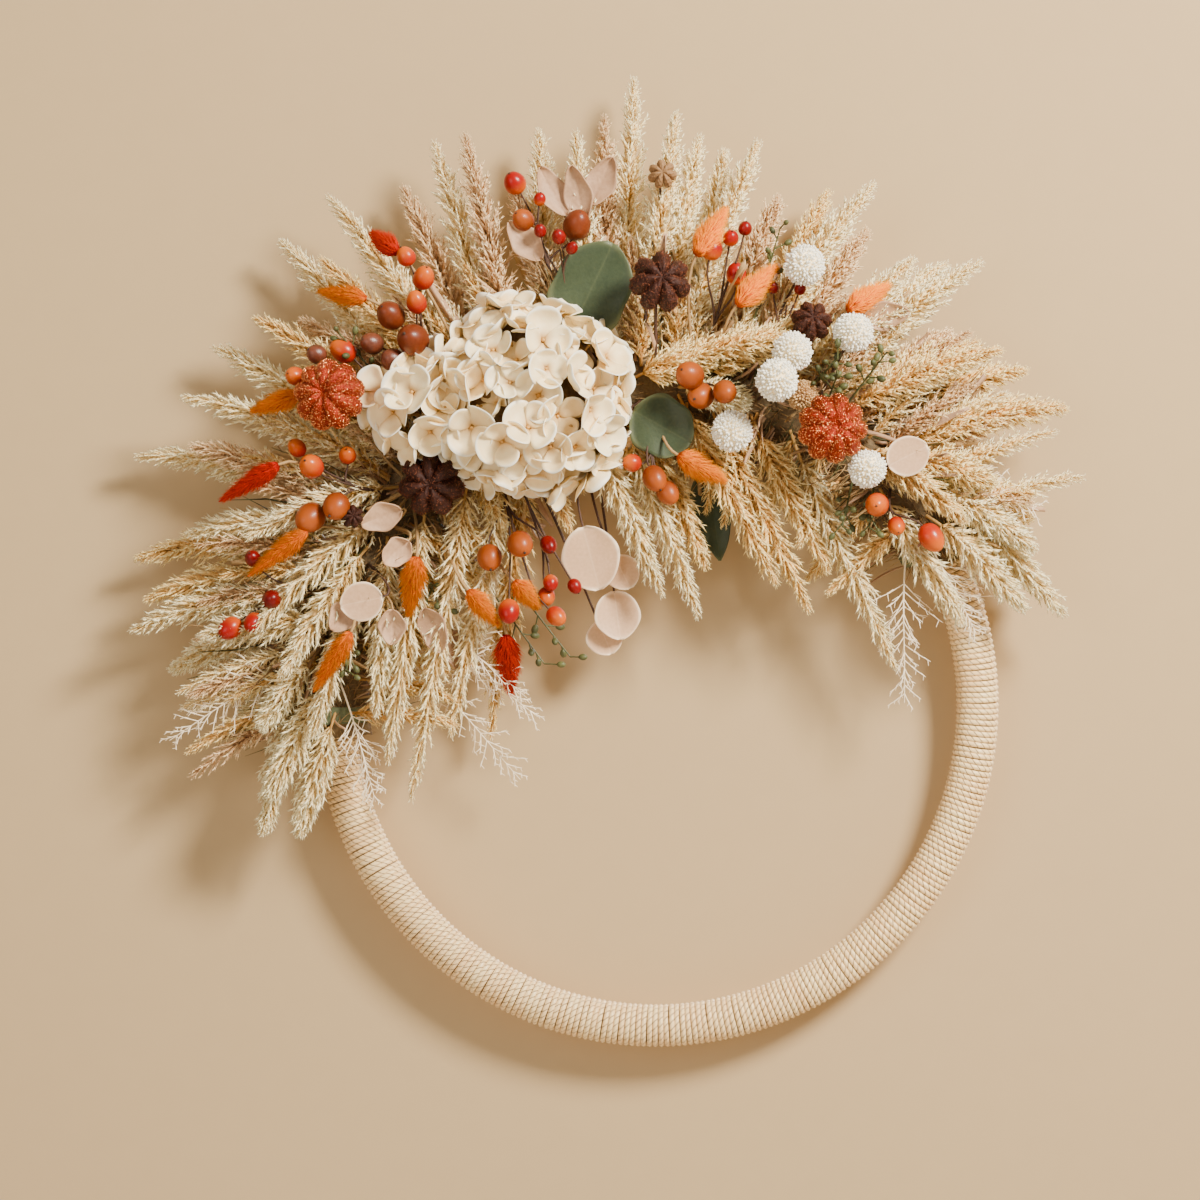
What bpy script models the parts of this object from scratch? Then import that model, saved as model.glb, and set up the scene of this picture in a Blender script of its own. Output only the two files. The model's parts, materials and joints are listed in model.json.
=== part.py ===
"""Harvest door wreath: a cord-wrapped hoop with an asymmetric dried-flower swag.

The origin is the point where the wall hook bears in the hanging ring. +Z is up, -Y is the front,
and the wall is on the +Y side. Places on the swag are polar: an angle round the hoop, a distance
out from the hoop's centreline, and a distance forward of the hoop's middle plane.
"""

import math

import bmesh
import bpy
from mathutils import Vector

# ---------------------------------------------------------------- driving dimensions, in metres
RING_R = 0.187            # hoop centreline radius
TOP_DEG = 90.0            # degrees of hoop at the hanger
CORE_R = 0.0096           # round cane core
CORD_T = 0.0027           # thickness of the wound cord
SLEEVE_GAP = 0.0007       # room between the core and what is round it
GAP = 0.0003              # room between pieces that touch
SWAG_R = 0.187            # hoop radius that the swag's degrees are given for; its length doesn't change
BASE_FROM, BASE_TO = 26.0, 186.0      # degrees of hoop that carry the flower base
WRAP_CLEAR_DEG = 1.0      # from each end of the base to the cord
BASE_HALF_W = 0.021       # base: half width, in the plane of the hoop
BASE_FRONT = 0.020        # base: from the hoop's middle plane to its front
BASE_WALL = 0.0040        # base: foam between the core and the flat back
FELT_T = 0.0050           # felt backing
FELT_HALF_W = 0.0135
BAND_T = 0.0010           # binding band
BAND_GAP = 0.0006
BAND_DEG = 3.0
WIRE_R = 0.0012           # hanging ring wire
RING_HALF_W = 0.0090      # hanging ring: half width at the wire's middle
RING_SIDE = 0.0030        # hanging ring: straight sides above the hinge bar
STRAP_T = 0.0008
STRAP_W = 0.0100
STRAP_TAIL = 0.0080       # strap below the hoop's centreline
SCREW_R = 0.0015
SCREW_HEAD_R = 0.0032
SCREW_HEAD_T = 0.0013
SCREW_BITE = 0.0075       # depth of the screw in the core
STEM_R = 0.0009
PLUME_R = 0.0070          # packed middle of a plume, without its loose hairs
TAIL_R = 0.0062
HYDRANGEA_R = 0.056
HYDRANGEA_DEPTH = 0.034
HYDRANGEA_AT = 113.0      # degrees of hoop at the middle of the hydrangea
LEAF_T = 0.0008
PUMPKIN_R = 0.0190

SEGMENT_DEG = 6.0         # facets round the hoop
SIDES = 10                # facets round the hoop's tube

# ---------------------------------------------------------------- sizes that follow
BORE_R = CORE_R + SLEEVE_GAP
WRAP_R = BORE_R + CORD_T
KNUCKLE_BORE = WIRE_R + GAP
KNUCKLE_R = KNUCKLE_BORE + STRAP_T
BASE_REAR_Y = -(KNUCKLE_R + GAP)
RING_Y = BASE_REAR_Y - BASE_WALL - BORE_R
BASE_REAR = BASE_REAR_Y - RING_Y
HINGE_OUT = BASE_HALF_W + KNUCKLE_R + 0.0015
EYE_RISE = RING_SIDE + RING_HALF_W - WIRE_R
HINGE_Z = -EYE_RISE
RING_Z = HINGE_Z - HINGE_OUT - RING_R
FELT_Y = BASE_REAR_Y + GAP
HYDRANGEA_DEG = math.degrees(HYDRANGEA_R / SWAG_R)     # degrees of hoop that half its width covers
WRAP_FROM = BASE_TO + WRAP_CLEAR_DEG
WRAP_DEG = 360.0 - (BASE_TO - BASE_FROM + 2 * WRAP_CLEAR_DEG) * SWAG_R / RING_R

for leftover in list(bpy.data.objects):
    bpy.data.objects.remove(leftover, do_unlink=True)
wreath = bpy.data.collections.new("harvest_door_wreath")
cutters = bpy.data.collections.new("cutters")
bpy.context.scene.collection.children.link(wreath)
bpy.context.scene.collection.children.link(cutters)


def material(name, colour, roughness=0.6, metallic=0.0):
    made = bpy.data.materials.new(name)
    made.use_nodes = True
    shader = made.node_tree.nodes["Principled BSDF"]
    shader.inputs["Base Color"].default_value = (*colour, 1.0)
    shader.inputs["Roughness"].default_value = roughness
    shader.inputs["Metallic"].default_value = metallic
    return made


CANE = material("cane", (0.45, 0.30, 0.16), 0.7)
JUTE = material("jute_cord", (0.76, 0.58, 0.36), 0.5)
MOSS = material("moss_base", (0.12, 0.12, 0.06), 0.95)
FELT = material("felt", (0.30, 0.24, 0.16), 0.95)
TAPE = material("florist_tape", (0.16, 0.18, 0.08), 0.6)
STEEL = material("plated_steel", (0.62, 0.62, 0.62), 0.3, 1.0)
CREAM = material("cream_petal", (0.90, 0.84, 0.70), 0.6)
GREEN = material("green_leaf", (0.075, 0.12, 0.06), 0.55)
COPPER = material("copper_glitter", (0.45, 0.08, 0.02), 0.35, 0.6)
BROWN = material("brown_pod", (0.10, 0.035, 0.02), 0.6)
WHITE = material("white_ball", (0.85, 0.80, 0.70), 0.8)
TAN = material("tan_ball", (0.50, 0.33, 0.17), 0.8)
ORANGE = material("orange_tail", (0.85, 0.24, 0.02), 0.8)
RED = material("red_tail", (0.70, 0.06, 0.01), 0.8)
BERRY = material("orange_berry", (0.75, 0.13, 0.02), 0.25)
NUT = material("terracotta_berry", (0.42, 0.14, 0.05), 0.4)
BLUSH = material("blush_disc", (0.80, 0.68, 0.58), 0.5)
STRAW = material("straw_plume", (0.80, 0.66, 0.42), 0.9)


# ---------------------------------------------------------------- places and helpers
def turned(degrees):
    """The true angle of a place on the swag. The swag keeps its length, whatever the hoop's radius."""
    return TOP_DEG + (degrees - TOP_DEG) * SWAG_R / RING_R


def swept(start, end):
    """The true angle between two places on the swag."""
    return turned(end) - turned(start)


def at(degrees, out, forward):
    """The point at an angle round the hoop, out from its centreline, forward of its middle plane."""
    angle = math.radians(turned(degrees))
    reach = RING_R + out
    return Vector((reach * math.cos(angle), RING_Y - forward, RING_Z + reach * math.sin(angle)))


def beside_hydrangea(share, clear=0.0):
    """Degrees of hoop at a share of the hydrangea's half width to its left, and a distance beyond."""
    return HYDRANGEA_AT + share * HYDRANGEA_DEG + math.degrees(clear / SWAG_R)


def add(name, data, finish, home=wreath):
    made = bpy.data.objects.new(name, data)
    home.objects.link(made)
    if finish:
        data.materials.append(finish)
    return made


def solid(made):
    """The evaluated shape as a plain mesh object in place of the one given."""
    bpy.context.view_layer.update()
    graph = bpy.context.evaluated_depsgraph_get()
    mesh = bpy.data.meshes.new_from_object(made.evaluated_get(graph))
    work = bmesh.new()
    work.from_mesh(mesh)
    bmesh.ops.remove_doubles(work, verts=work.verts, dist=1e-6)
    bmesh.ops.recalc_face_normals(work, faces=work.faces)
    work.to_mesh(mesh)
    work.free()
    name, home, place = made.name, made.users_collection[0], made.matrix_world.copy()
    bpy.data.objects.remove(made, do_unlink=True)
    kept = bpy.data.objects.new(name, mesh)
    kept.matrix_world = place
    home.objects.link(kept)
    return kept


def combine(target, other, operation):
    """Joins the other solid to the target, or cuts it away, and leaves one plain mesh."""
    joint = target.modifiers.new(operation.lower(), "BOOLEAN")
    joint.operation = operation
    joint.object = other
    joint.solver = "EXACT"
    made = solid(target)
    bpy.data.objects.remove(other, do_unlink=True)
    return made


def smooth(made):
    if made.type == "MESH":
        made.data.shade_smooth()
        made.data.set_sharp_from_angle(angle=math.radians(40))
    return made


def spun(name, outer, inner, start, sweep, finish):
    """A section of (out, forward) points swept round the hoop. With an inner loop it is a sleeve."""
    work = bmesh.new()
    loops = []
    for points in (outer, inner) if inner else (outer,):
        verts = [work.verts.new(at(start, out, forward)) for out, forward in points]
        loops.append([work.edges.new((a, b)) for a, b in zip(verts, verts[1:] + verts[:1])])
    if inner:
        bmesh.ops.bridge_loops(work, edges=loops[0] + loops[1])
    else:
        bmesh.ops.contextual_create(work, geom=loops[0])
    steps = max(1, round(sweep / SEGMENT_DEG))
    bmesh.ops.spin(
        work,
        geom=work.verts[:] + work.edges[:] + work.faces[:],
        cent=(0, RING_Y, RING_Z),
        axis=(0, -1, 0),
        angle=math.radians(sweep),
        steps=steps,
    )
    bmesh.ops.recalc_face_normals(work, faces=work.faces)
    mesh = bpy.data.meshes.new(name)
    work.to_mesh(mesh)
    work.free()
    return smooth(add(name, mesh, finish))


def circle(radius):
    angles = [math.tau * k / SIDES for k in range(SIDES)]
    return [(radius * math.cos(angle), radius * math.sin(angle)) for angle in angles]


def base_section(grow=0.0):
    """The base's outline: round in front, squared to a flat back."""
    points = []
    for k in range(SIDES):
        angle = math.tau * k / SIDES
        cosine, sine = math.cos(angle), math.sin(angle)
        out = BASE_HALF_W * cosine
        forward = BASE_FRONT * sine
        if sine < -0.01:
            out = math.copysign(BASE_HALF_W * abs(cosine) ** 0.55, cosine)
            forward = -BASE_REAR * min(1.0, 1.35 * abs(sine))
        away = Vector((out, forward)).normalized() * grow
        points.append((out + away.x, forward + away.y))
    return points


def tube(name, points, radii, finish, sides=2):
    """A round stem or head: a smooth run of points with a radius at each."""
    curve = bpy.data.curves.new(name, "CURVE")
    curve.dimensions = "3D"
    curve.bevel_depth = 1.0
    curve.bevel_resolution = sides
    curve.use_fill_caps = True
    spline = curve.splines.new("POLY")
    spline.points.add(len(points) - 1)
    for point, place, radius in zip(spline.points, points, radii):
        point.co = (*place, 1.0)
        point.radius = radius
    return add(name, curve, finish)


def root_on_base(degrees, around):
    """A stem's start just off the base, and its direction there. Around is 0 outward, 90 forward."""
    angle = math.radians(around)

    def off_base(clear):
        return at(degrees, (BASE_HALF_W + clear) * math.cos(angle), (BASE_FRONT + clear) * math.sin(angle))

    start = off_base(GAP + STEM_R)
    return start, (off_base(BASE_HALF_W) - start).normalized()


def bend(start, leave, end, arrive, count):
    """Points of a smooth bend from start to end, leaving and arriving along the directions given."""
    pull = (end - start).length * 0.38
    first, second = start + leave * pull, end - arrive * pull
    points = []
    for k in range(count):
        t = k / (count - 1)
        s = 1 - t
        points.append(start * s**3 + first * 3 * s * s * t + second * 3 * s * t * t + end * t**3)
    return points


def ball_profile(radius, squash=1.0, count=5):
    """Distances along the axis, and radii, of a round head that swallows the end of its stem."""
    profile = []
    for k in range(1, count + 1):
        angle = math.pi * k / (count + 1)
        profile.append((radius * squash * (1 - math.cos(angle)), radius * math.sin(angle)))
    profile.append((2 * radius * squash, radius * 0.12))
    return profile


def egg_profile(radius, length):
    return [
        (length * 0.10, radius * 0.62),
        (length * 0.30, radius),
        (length * 0.60, radius * 0.85),
        (length * 0.85, radius * 0.45),
        (length, radius * 0.12),
    ]


def pick(name, root, neck, axis, profile, finish, stem_r=STEM_R, bends=5):
    """One stem glued to the base, with a head along axis from the neck."""
    start, leave = root_on_base(*root)
    axis = axis.normalized()
    points = bend(start, leave, neck, axis, bends)
    radii = [stem_r] * bends
    for along, radius in profile:
        points.append(neck + axis * along)
        radii.append(radius)
    return tube(name, points, radii, finish)


FORWARD = Vector((0, -1, 0))


def facing_head(name, place, radius, finish, root, squash=1.0, lean=(0.0, 0.0)):
    """A round head that faces the front. lean tips its axis sideways and up."""
    axis = Vector((lean[0], -1, lean[1])).normalized()
    centre = at(*place)
    return pick(name, root, centre - axis * radius * squash, axis, ball_profile(radius, squash), finish)


# ---------------------------------------------------------------- hoop, base and backing
def full_hoop(name, radius, finish):
    """A whole ring of round rod in the plane of the hoop."""
    bpy.ops.mesh.primitive_torus_add(
        major_segments=round(360 / SEGMENT_DEG),
        minor_segments=SIDES,
        major_radius=RING_R,
        minor_radius=radius,
        location=(0, RING_Y, RING_Z),
        rotation=(math.pi / 2, 0, 0),
    )
    made = bpy.context.object
    made.name = name
    made.data.materials.append(finish)
    for home in list(made.users_collection):
        home.objects.unlink(made)
    wreath.objects.link(made)
    return smooth(made)


hoop_core = full_hoop("hoop_core", CORE_R, CANE)
spun("jute_wrap", circle(WRAP_R), circle(BORE_R), WRAP_FROM, WRAP_DEG, JUTE)
swag_base = spun("swag_base", base_section(), circle(BORE_R), BASE_FROM, swept(BASE_FROM, BASE_TO), MOSS)

felt_rear = -(FELT_Y + FELT_T - RING_Y)
felt_front = -(FELT_Y - RING_Y)
felt_section = [
    (FELT_HALF_W, felt_front),
    (-FELT_HALF_W, felt_front),
    (-FELT_HALF_W, felt_rear),
    (FELT_HALF_W, felt_rear),
]
spun("felt_backing_left", felt_section, None, 98.0, swept(98.0, 176.0), FELT)
spun("felt_backing_right", felt_section, None, 36.0, swept(36.0, 82.0), FELT)

for side, middle in (("right", BASE_FROM + 4.0), ("left", BASE_TO - 4.0)):
    spun(
        f"binding_band_{side}",
        base_section(BAND_GAP + BAND_T),
        base_section(BAND_GAP),
        middle - BAND_DEG / 2,
        swept(0.0, BAND_DEG),
        TAPE,
    )


# ---------------------------------------------------------------- hanger
def box(name, low, high, finish, home=wreath):
    work = bmesh.new()
    bmesh.ops.create_cube(work, size=1.0)
    low, high = Vector(low), Vector(high)
    for vert in work.verts:
        vert.co = Vector((low[i] + (vert.co[i] + 0.5) * (high[i] - low[i]) for i in range(3)))
    mesh = bpy.data.meshes.new(name)
    work.to_mesh(mesh)
    work.free()
    return add(name, mesh, finish, home)


def rod(name, start, end, radius, finish=None, home=cutters, sides=16):
    """A straight cylinder from start to end."""
    start, end = Vector(start), Vector(end)
    work = bmesh.new()
    bmesh.ops.create_cone(
        work, cap_ends=True, segments=sides, radius1=radius, radius2=radius, depth=(end - start).length
    )
    mesh = bpy.data.meshes.new(name)
    work.to_mesh(mesh)
    work.free()
    made = add(name, mesh, finish, home)
    made.rotation_mode = "QUATERNION"
    made.rotation_quaternion = (end - start).to_track_quat("Z", "Y")
    made.location = (start + end) / 2
    if home is cutters:
        made.hide_render = True
        made.display_type = "WIRE"
    return made


HOOP_TOP_Z = RING_Z + RING_R
STRAP_Y = BASE_REAR_Y + GAP
strap = box(
    "hanger_strap",
    (-STRAP_W / 2, STRAP_Y, HOOP_TOP_Z - STRAP_TAIL),
    (STRAP_W / 2, STRAP_Y + STRAP_T, HINGE_Z),
    None,
)
knuckle = rod("knuckle", (-STRAP_W / 2, 0, HINGE_Z), (STRAP_W / 2, 0, HINGE_Z), KNUCKLE_R)
strap = combine(strap, knuckle, "UNION")
bore = rod("knuckle_bore", (-STRAP_W, 0, HINGE_Z), (STRAP_W, 0, HINGE_Z), KNUCKLE_BORE)
strap = combine(strap, bore, "DIFFERENCE")
screw_reach = RING_Y + CORE_R - SCREW_BITE
screw_hole = rod(
    "strap_hole", (0, STRAP_Y - STRAP_T, HOOP_TOP_Z), (0, STRAP_Y + 2 * STRAP_T, HOOP_TOP_Z), SCREW_R + GAP
)
strap = combine(strap, screw_hole, "DIFFERENCE")
strap.data.materials.clear()
strap.data.materials.append(STEEL)

for target in (swag_base, hoop_core):
    finish = target.data.materials[0]
    pilot = rod("pilot", (0, screw_reach - GAP, HOOP_TOP_Z), (0, 0.002, HOOP_TOP_Z), SCREW_R + GAP)
    drilled = combine(target, pilot, "DIFFERENCE")
    drilled.data.materials.clear()
    drilled.data.materials.append(finish)
    smooth(drilled)

head_y = STRAP_Y + STRAP_T + GAP
tube(
    "hanger_screw",
    [
        Vector((0, screw_reach, HOOP_TOP_Z)),
        Vector((0, screw_reach + 2 * SCREW_R, HOOP_TOP_Z)),
        Vector((0, head_y, HOOP_TOP_Z)),
        Vector((0, head_y + 0.0001, HOOP_TOP_Z)),
        Vector((0, head_y + SCREW_HEAD_T * 0.6, HOOP_TOP_Z)),
        Vector((0, head_y + SCREW_HEAD_T, HOOP_TOP_Z)),
    ],
    [SCREW_R * 0.3, SCREW_R, SCREW_R, SCREW_HEAD_R, SCREW_HEAD_R, SCREW_HEAD_R * 0.6],
    STEEL,
)


def hanging_ring():
    """A D-shaped loop of wire whose straight bar turns in the strap's knuckle."""
    corner = 2.0 * WIRE_R
    cut = 0.3 * corner
    points = []
    for k in range(9):
        angle = math.pi * k / 8
        points.append((RING_HALF_W * math.cos(angle), RING_SIDE + RING_HALF_W * math.sin(angle)))
    points += [(-RING_HALF_W, corner), (-RING_HALF_W + cut, cut), (-RING_HALF_W + corner, 0)]
    points += [(RING_HALF_W - corner, 0), (RING_HALF_W - cut, cut), (RING_HALF_W, corner)]
    made = tube(
        "hanger_ring",
        [Vector((x, 0, z)) for x, z in points],
        [WIRE_R] * len(points),
        STEEL,
    )
    made.data.splines[0].use_cyclic_u = True
    made.location.z = HINGE_Z
    return made


hanging_ring()


# ---------------------------------------------------------------- hydrangea
def dome(name, centre, radius, depth, segments=16, rings=10):
    work = bmesh.new()
    bmesh.ops.create_uvsphere(work, u_segments=segments, v_segments=rings, radius=1.0)
    bmesh.ops.scale(work, vec=(radius, depth, radius), verts=work.verts)
    bmesh.ops.translate(work, vec=centre, verts=work.verts)
    mesh = bpy.data.meshes.new(name)
    work.to_mesh(mesh)
    work.free()
    return add(name, mesh, None)


def hydrangea():
    middle = at(HYDRANGEA_AT, 0.004, BASE_FRONT + 0.002 + HYDRANGEA_DEPTH)
    head = dome("hydrangea_head", middle, HYDRANGEA_R, HYDRANGEA_DEPTH)
    lobe_at = at(beside_hydrangea(0.70), 0.026, BASE_FRONT + 0.030)
    lobe = dome("lobe", lobe_at, HYDRANGEA_R * 0.48, 0.020, 12, 8)
    head = combine(head, lobe, "UNION")
    stem_start = at(HYDRANGEA_AT, 0.004, BASE_FRONT + 2 * GAP)
    stem = rod("stem", stem_start, middle, 0.0025, home=wreath, sides=8)
    head = combine(head, stem, "UNION")
    head.data.materials.clear()
    head.data.materials.append(CREAM)
    smooth(head)


hydrangea()


# ---------------------------------------------------------------- leaves and discs
def blade(name, points, widths, across, finish, thickness=LEAF_T):
    """A stem that opens into a flat leaf: elliptical sections of the widths given, along the points."""
    work = bmesh.new()
    rings = []
    across = across.normalized()
    sides = 8
    for index, (place, width) in enumerate(zip(points, widths)):
        before = points[max(index - 1, 0)]
        after = points[min(index + 1, len(points) - 1)]
        normal = (after - before).cross(across).normalized()
        deep = min(width, thickness)
        ring = []
        for k in range(sides):
            angle = math.tau * k / sides
            ring.append(
                work.verts.new(place + across * width * math.cos(angle) + normal * deep * math.sin(angle))
            )
        rings.append(ring)
    for low, high in zip(rings, rings[1:]):
        for k in range(sides):
            work.faces.new((low[k], low[(k + 1) % sides], high[(k + 1) % sides], high[k]))
    work.faces.new(rings[0][::-1])
    work.faces.new(rings[-1])
    bmesh.ops.recalc_face_normals(work, faces=work.faces)
    mesh = bpy.data.meshes.new(name)
    work.to_mesh(mesh)
    work.free()
    return smooth(add(name, mesh, finish))


def leaf(name, root, foot, tip, width, finish, blunt=1.0):
    """A round leaf from its foot to its tip, lying nearly flat to the front, on a stem from the base."""
    start, leave = root_on_base(*root)
    along = (tip - foot).normalized()
    points = bend(start, leave, foot, along, 5)
    widths = [STEM_R] * 5
    count = 7
    for k in range(1, count + 1):
        share = k / count
        angle = math.pi * share
        points.append(foot.lerp(tip, (1 - math.cos(angle)) / 2))
        widths.append(max(width * math.sin(angle) ** blunt, STEM_R * 0.6))
    across = along.cross(FORWARD)
    return blade(name, points, widths, across, finish)


leaf(
    "leaf_top",
    (beside_hydrangea(-0.93), 60.0),
    at(beside_hydrangea(-0.60), 0.034, 0.0330),
    at(beside_hydrangea(-0.99), 0.077, 0.0350),
    0.0215,
    GREEN,
)
leaf("leaf_right", (93.0, 120.0), at(94.5, -0.019, 0.0290), at(83.5, -0.034, 0.0310), 0.0170, GREEN)
leaf("leaf_low", (80.0, 165.0), at(78.0, -0.048, 0.0100), at(66.5, -0.096, 0.0120), 0.0110, GREEN, 0.8)

# ---------------------------------------------------------------- round heads
facing_head("glitter_pumpkin_left", (136.5, 0.071, 0.060), PUMPKIN_R, COPPER, (133, 72), 0.8, (-0.25, 0.1))
facing_head("glitter_pumpkin_right", (57.8, 0.0005, 0.062), PUMPKIN_R, COPPER, (57.8, 90), 0.8, (0.15, 0.05))
facing_head("brown_pod_top", (89.6, 0.055, 0.060), 0.0170, BROWN, (90.0, 78.0), 0.85, (0.1, 0.2))
facing_head("brown_pod_right", (68.1, 0.050, 0.050), 0.0110, BROWN, (68.5, 62.0), 0.85, (0.1, 0.3))
facing_head(
    "brown_pod_left",
    (beside_hydrangea(1.0, 0.0171), -0.0055, 0.047),
    0.0185,
    BROWN,
    (beside_hydrangea(1.0, 0.0191), 96.0),
    0.85,
    (-0.1, -0.1),
)

facing_head("ball_flower_top", (71.5, 0.079, 0.052), 0.0113, WHITE, (74.0, 66.0))
facing_head("ball_flower_outer", (62.3, 0.054, 0.058), 0.0109, WHITE, (62.0, 70.0))
facing_head("ball_flower_upper", (69.1, 0.0295, 0.062), 0.0110, WHITE, (69.0, 80.0))
facing_head("ball_flower_middle", (69.9, 0.0104, 0.078), 0.0117, WHITE, (71.5, 92.0))
facing_head("ball_flower_inner", (74.7, -0.0243, 0.055), 0.0113, WHITE, (75.5, 112.0))
facing_head("ball_flower_right", (48.4, -0.0059, 0.055), 0.0104, WHITE, (47.5, 96.0))
facing_head("ball_flower_tan", (64.8, 0.0095, 0.046), 0.0085, TAN, (64.8, 84.0))


# ---------------------------------------------------------------- bunny tails
def bunny_tail(name, root, foot, tip, finish, radius=TAIL_R):
    axis = tip - foot
    return pick(name, root, foot, axis, egg_profile(radius, axis.length), finish)


bunny_tail("bunny_tail_top", (84.0, 60.0), at(85.0, 0.074, 0.042), at(81.9, 0.098, 0.044), ORANGE)
bunny_tail("bunny_tail_upper", (80.0, 66.0), at(78.7, 0.049, 0.045), at(74.6, 0.072, 0.047), ORANGE)
bunny_tail("bunny_tail_right", (60.5, 52.0), at(64.2, 0.066, 0.040), at(61.0, 0.086, 0.041), ORANGE)
bunny_tail("bunny_tail_inner", (87.0, 90.0), at(84.5, -0.044, 0.047), at(72.8, -0.053, 0.049), ORANGE)
bunny_tail(
    "bunny_tail_left",
    (beside_hydrangea(1.0, 0.0354), 108.0),
    at(beside_hydrangea(1.0, 0.0610), -0.026, 0.046),
    at(beside_hydrangea(1.0, 0.0973), -0.0355, 0.044),
    ORANGE,
)
bunny_tail("bunny_tail_low", (138.0, 160.0), at(155.9, -0.092, 0.016), at(176.5, -0.103, 0.016), RED)


# ---------------------------------------------------------------- berry and disc sprays
def spray(name, root, crown, heads, finish):
    """A forked twig. Each head is (degrees, out, forward, radius), on its own wire off the main twig."""
    start, leave = root_on_base(*root)
    end = at(*crown)
    main = bend(start, leave, end, (end - start).normalized(), 7)
    made = solid(tube(name, main, [STEM_R * 1.2] * 7, None, 1))
    for index, (degrees, out, forward, radius) in enumerate(heads):
        fork = main[3 + index % 3]
        centre = at(degrees, out, forward)
        axis = (centre - fork).normalized()
        neck = centre - axis * radius
        points = [fork, fork.lerp(neck, 0.5), neck]
        radii = [STEM_R * 0.8] * 3
        for along, size in ball_profile(radius, 1.0, 4):
            points.append(neck + axis * along)
            radii.append(size)
        wire = solid(tube(f"{name}_{index}", points, radii, None, 1))
        made = combine(made, wire, "UNION")
    made.data.materials.clear()
    made.data.materials.append(finish)
    return smooth(made)


spray(
    "berry_spray_top",
    (103.0, 36.0),
    (104.0, 0.088, 0.022),
    [(105.2, 0.125, 0.028, 0.0062), (105.4, 0.103, 0.031, 0.0060), (99.4, 0.0935, 0.030, 0.0078),
     (103.0, 0.112, 0.034, 0.0036)],
    BERRY,
)
spray(
    "berry_spray_upper_left",
    (126.0, 24.0),
    (123.5, 0.064, 0.034),
    [(118.6, 0.0925, 0.044, 0.0060), (120.8, 0.082, 0.052, 0.0055), (124.3, 0.084, 0.046, 0.0075),
     (128.2, 0.0775, 0.044, 0.0062), (119.2, 0.108, 0.046, 0.0052)],
    BERRY,
)
spray(
    "berry_spray_left",
    (142.0, 70.0),
    (145.0, 0.038, 0.044),
    [(145.3, 0.054, 0.048, 0.0066), (151.6, 0.039, 0.048, 0.0080), (141.0, 0.0414, 0.044, 0.0046),
     (148.2, 0.029, 0.054, 0.0076), (144.4, 0.067, 0.044, 0.0046)],
    BERRY,
)
spray(
    "berry_spray_bottom",
    (124.0, 140.0),
    (130.0, -0.062, 0.030),
    [(147.6, -0.0865, 0.046, 0.0060), (124.0, -0.076, 0.042, 0.0046), (138.5, -0.110, 0.040, 0.0050),
     (138.6, -0.059, 0.040, 0.0070), (130.3, -0.066, 0.050, 0.0070)],
    BERRY,
)
spray(
    "berry_spray_centre",
    (80.5, 88.0),
    (81.0, 0.000, 0.042),
    [(84.4, 0.003, 0.056, 0.0078), (82.0, -0.008, 0.050, 0.0074), (77.8, -0.0035, 0.058, 0.0066)],
    NUT,
)
spray(
    "berry_spray_right",
    (42.5, 100.0),
    (39.5, -0.014, 0.038),
    [(42.4, -0.0165, 0.052, 0.0066), (36.8, -0.0155, 0.048, 0.0046), (31.4, -0.0025, 0.046, 0.0068)],
    BERRY,
)


leaf("paper_disc_upper", (108.0, 160.0), at(112.5, -0.076, 0.030), at(116.0, -0.112, 0.032), 0.0168, BLUSH)
leaf("paper_disc_lower", (104.0, 168.0), at(110.5, -0.117, 0.018), at(119.0, -0.143, 0.019), 0.0135, BLUSH)


# ---------------------------------------------------------------- plumes
def plume(name, root, tip, radius=PLUME_R):
    """A grass plume: bare stem, then a full middle that tapers to the tip."""
    start, leave = root_on_base(*root)
    end = at(*tip)
    arrive = (end - start).normalized()
    leave = (leave * 0.4 + arrive).normalized()
    count = 8
    points = bend(start, leave, end, arrive, count)
    shape = [0.0, 0.0, 0.35, 0.9, 1.0, 0.85, 0.5, 0.0]
    radii = [max(radius * share, STEM_R) for share in shape]
    return tube(name, points, radii, STRAW, 1)


REAR, MIDDLE = 8.0, 46.0
rear_plumes = [
    # root degrees, tip degrees, tip out
    (168.0, 176.0, 0.098),
    (154.0, 164.5, 0.130),
    (146.0, 154.5, 0.150),
    (138.0, 141.0, 0.146),
    (128.0, 129.0, 0.163),
    (118.0, 116.0, 0.150),
    (107.0, 101.5, 0.156),
    (95.0, 92.0, 0.180),
    (84.0, 83.0, 0.140),
    (74.0, 71.5, 0.130),
    (64.0, 56.5, 0.122),
    (52.0, 42.0, 0.105),
    (41.0, 26.0, 0.058),
]
for number, (root, tip, out) in enumerate(rear_plumes, 1):
    plume(f"plume_rear_{number:02d}", (root, REAR), (tip, out, 0.004))
middle_plumes = [
    (161.0, 172.0, 0.122),
    (150.0, 160.0, 0.104),
    (113.0, 108.5, 0.164),
    (57.0, 49.0, 0.090),
    (47.0, 35.8, 0.108),
    (36.0, 12.0, 0.056),
    (177.5, 198.5, 0.054),
]
for number, (root, tip, out) in enumerate(middle_plumes, 1):
    plume(f"plume_middle_{number:02d}", (root, MIDDLE), (tip, out, 0.024))
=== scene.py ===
# %% [markdown]
# # Harvest door wreath: the looks
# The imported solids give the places, the hoop and the hanger. This script dresses them: wound cord, grass
# plumes, hydrangea, pumpkins, pods, berries and leaves. It starts by loading the frame and measuring it.

# %% Load the frame
import json
import math

import bpy
import numpy as np
from mathutils import Matrix, Vector

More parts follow.
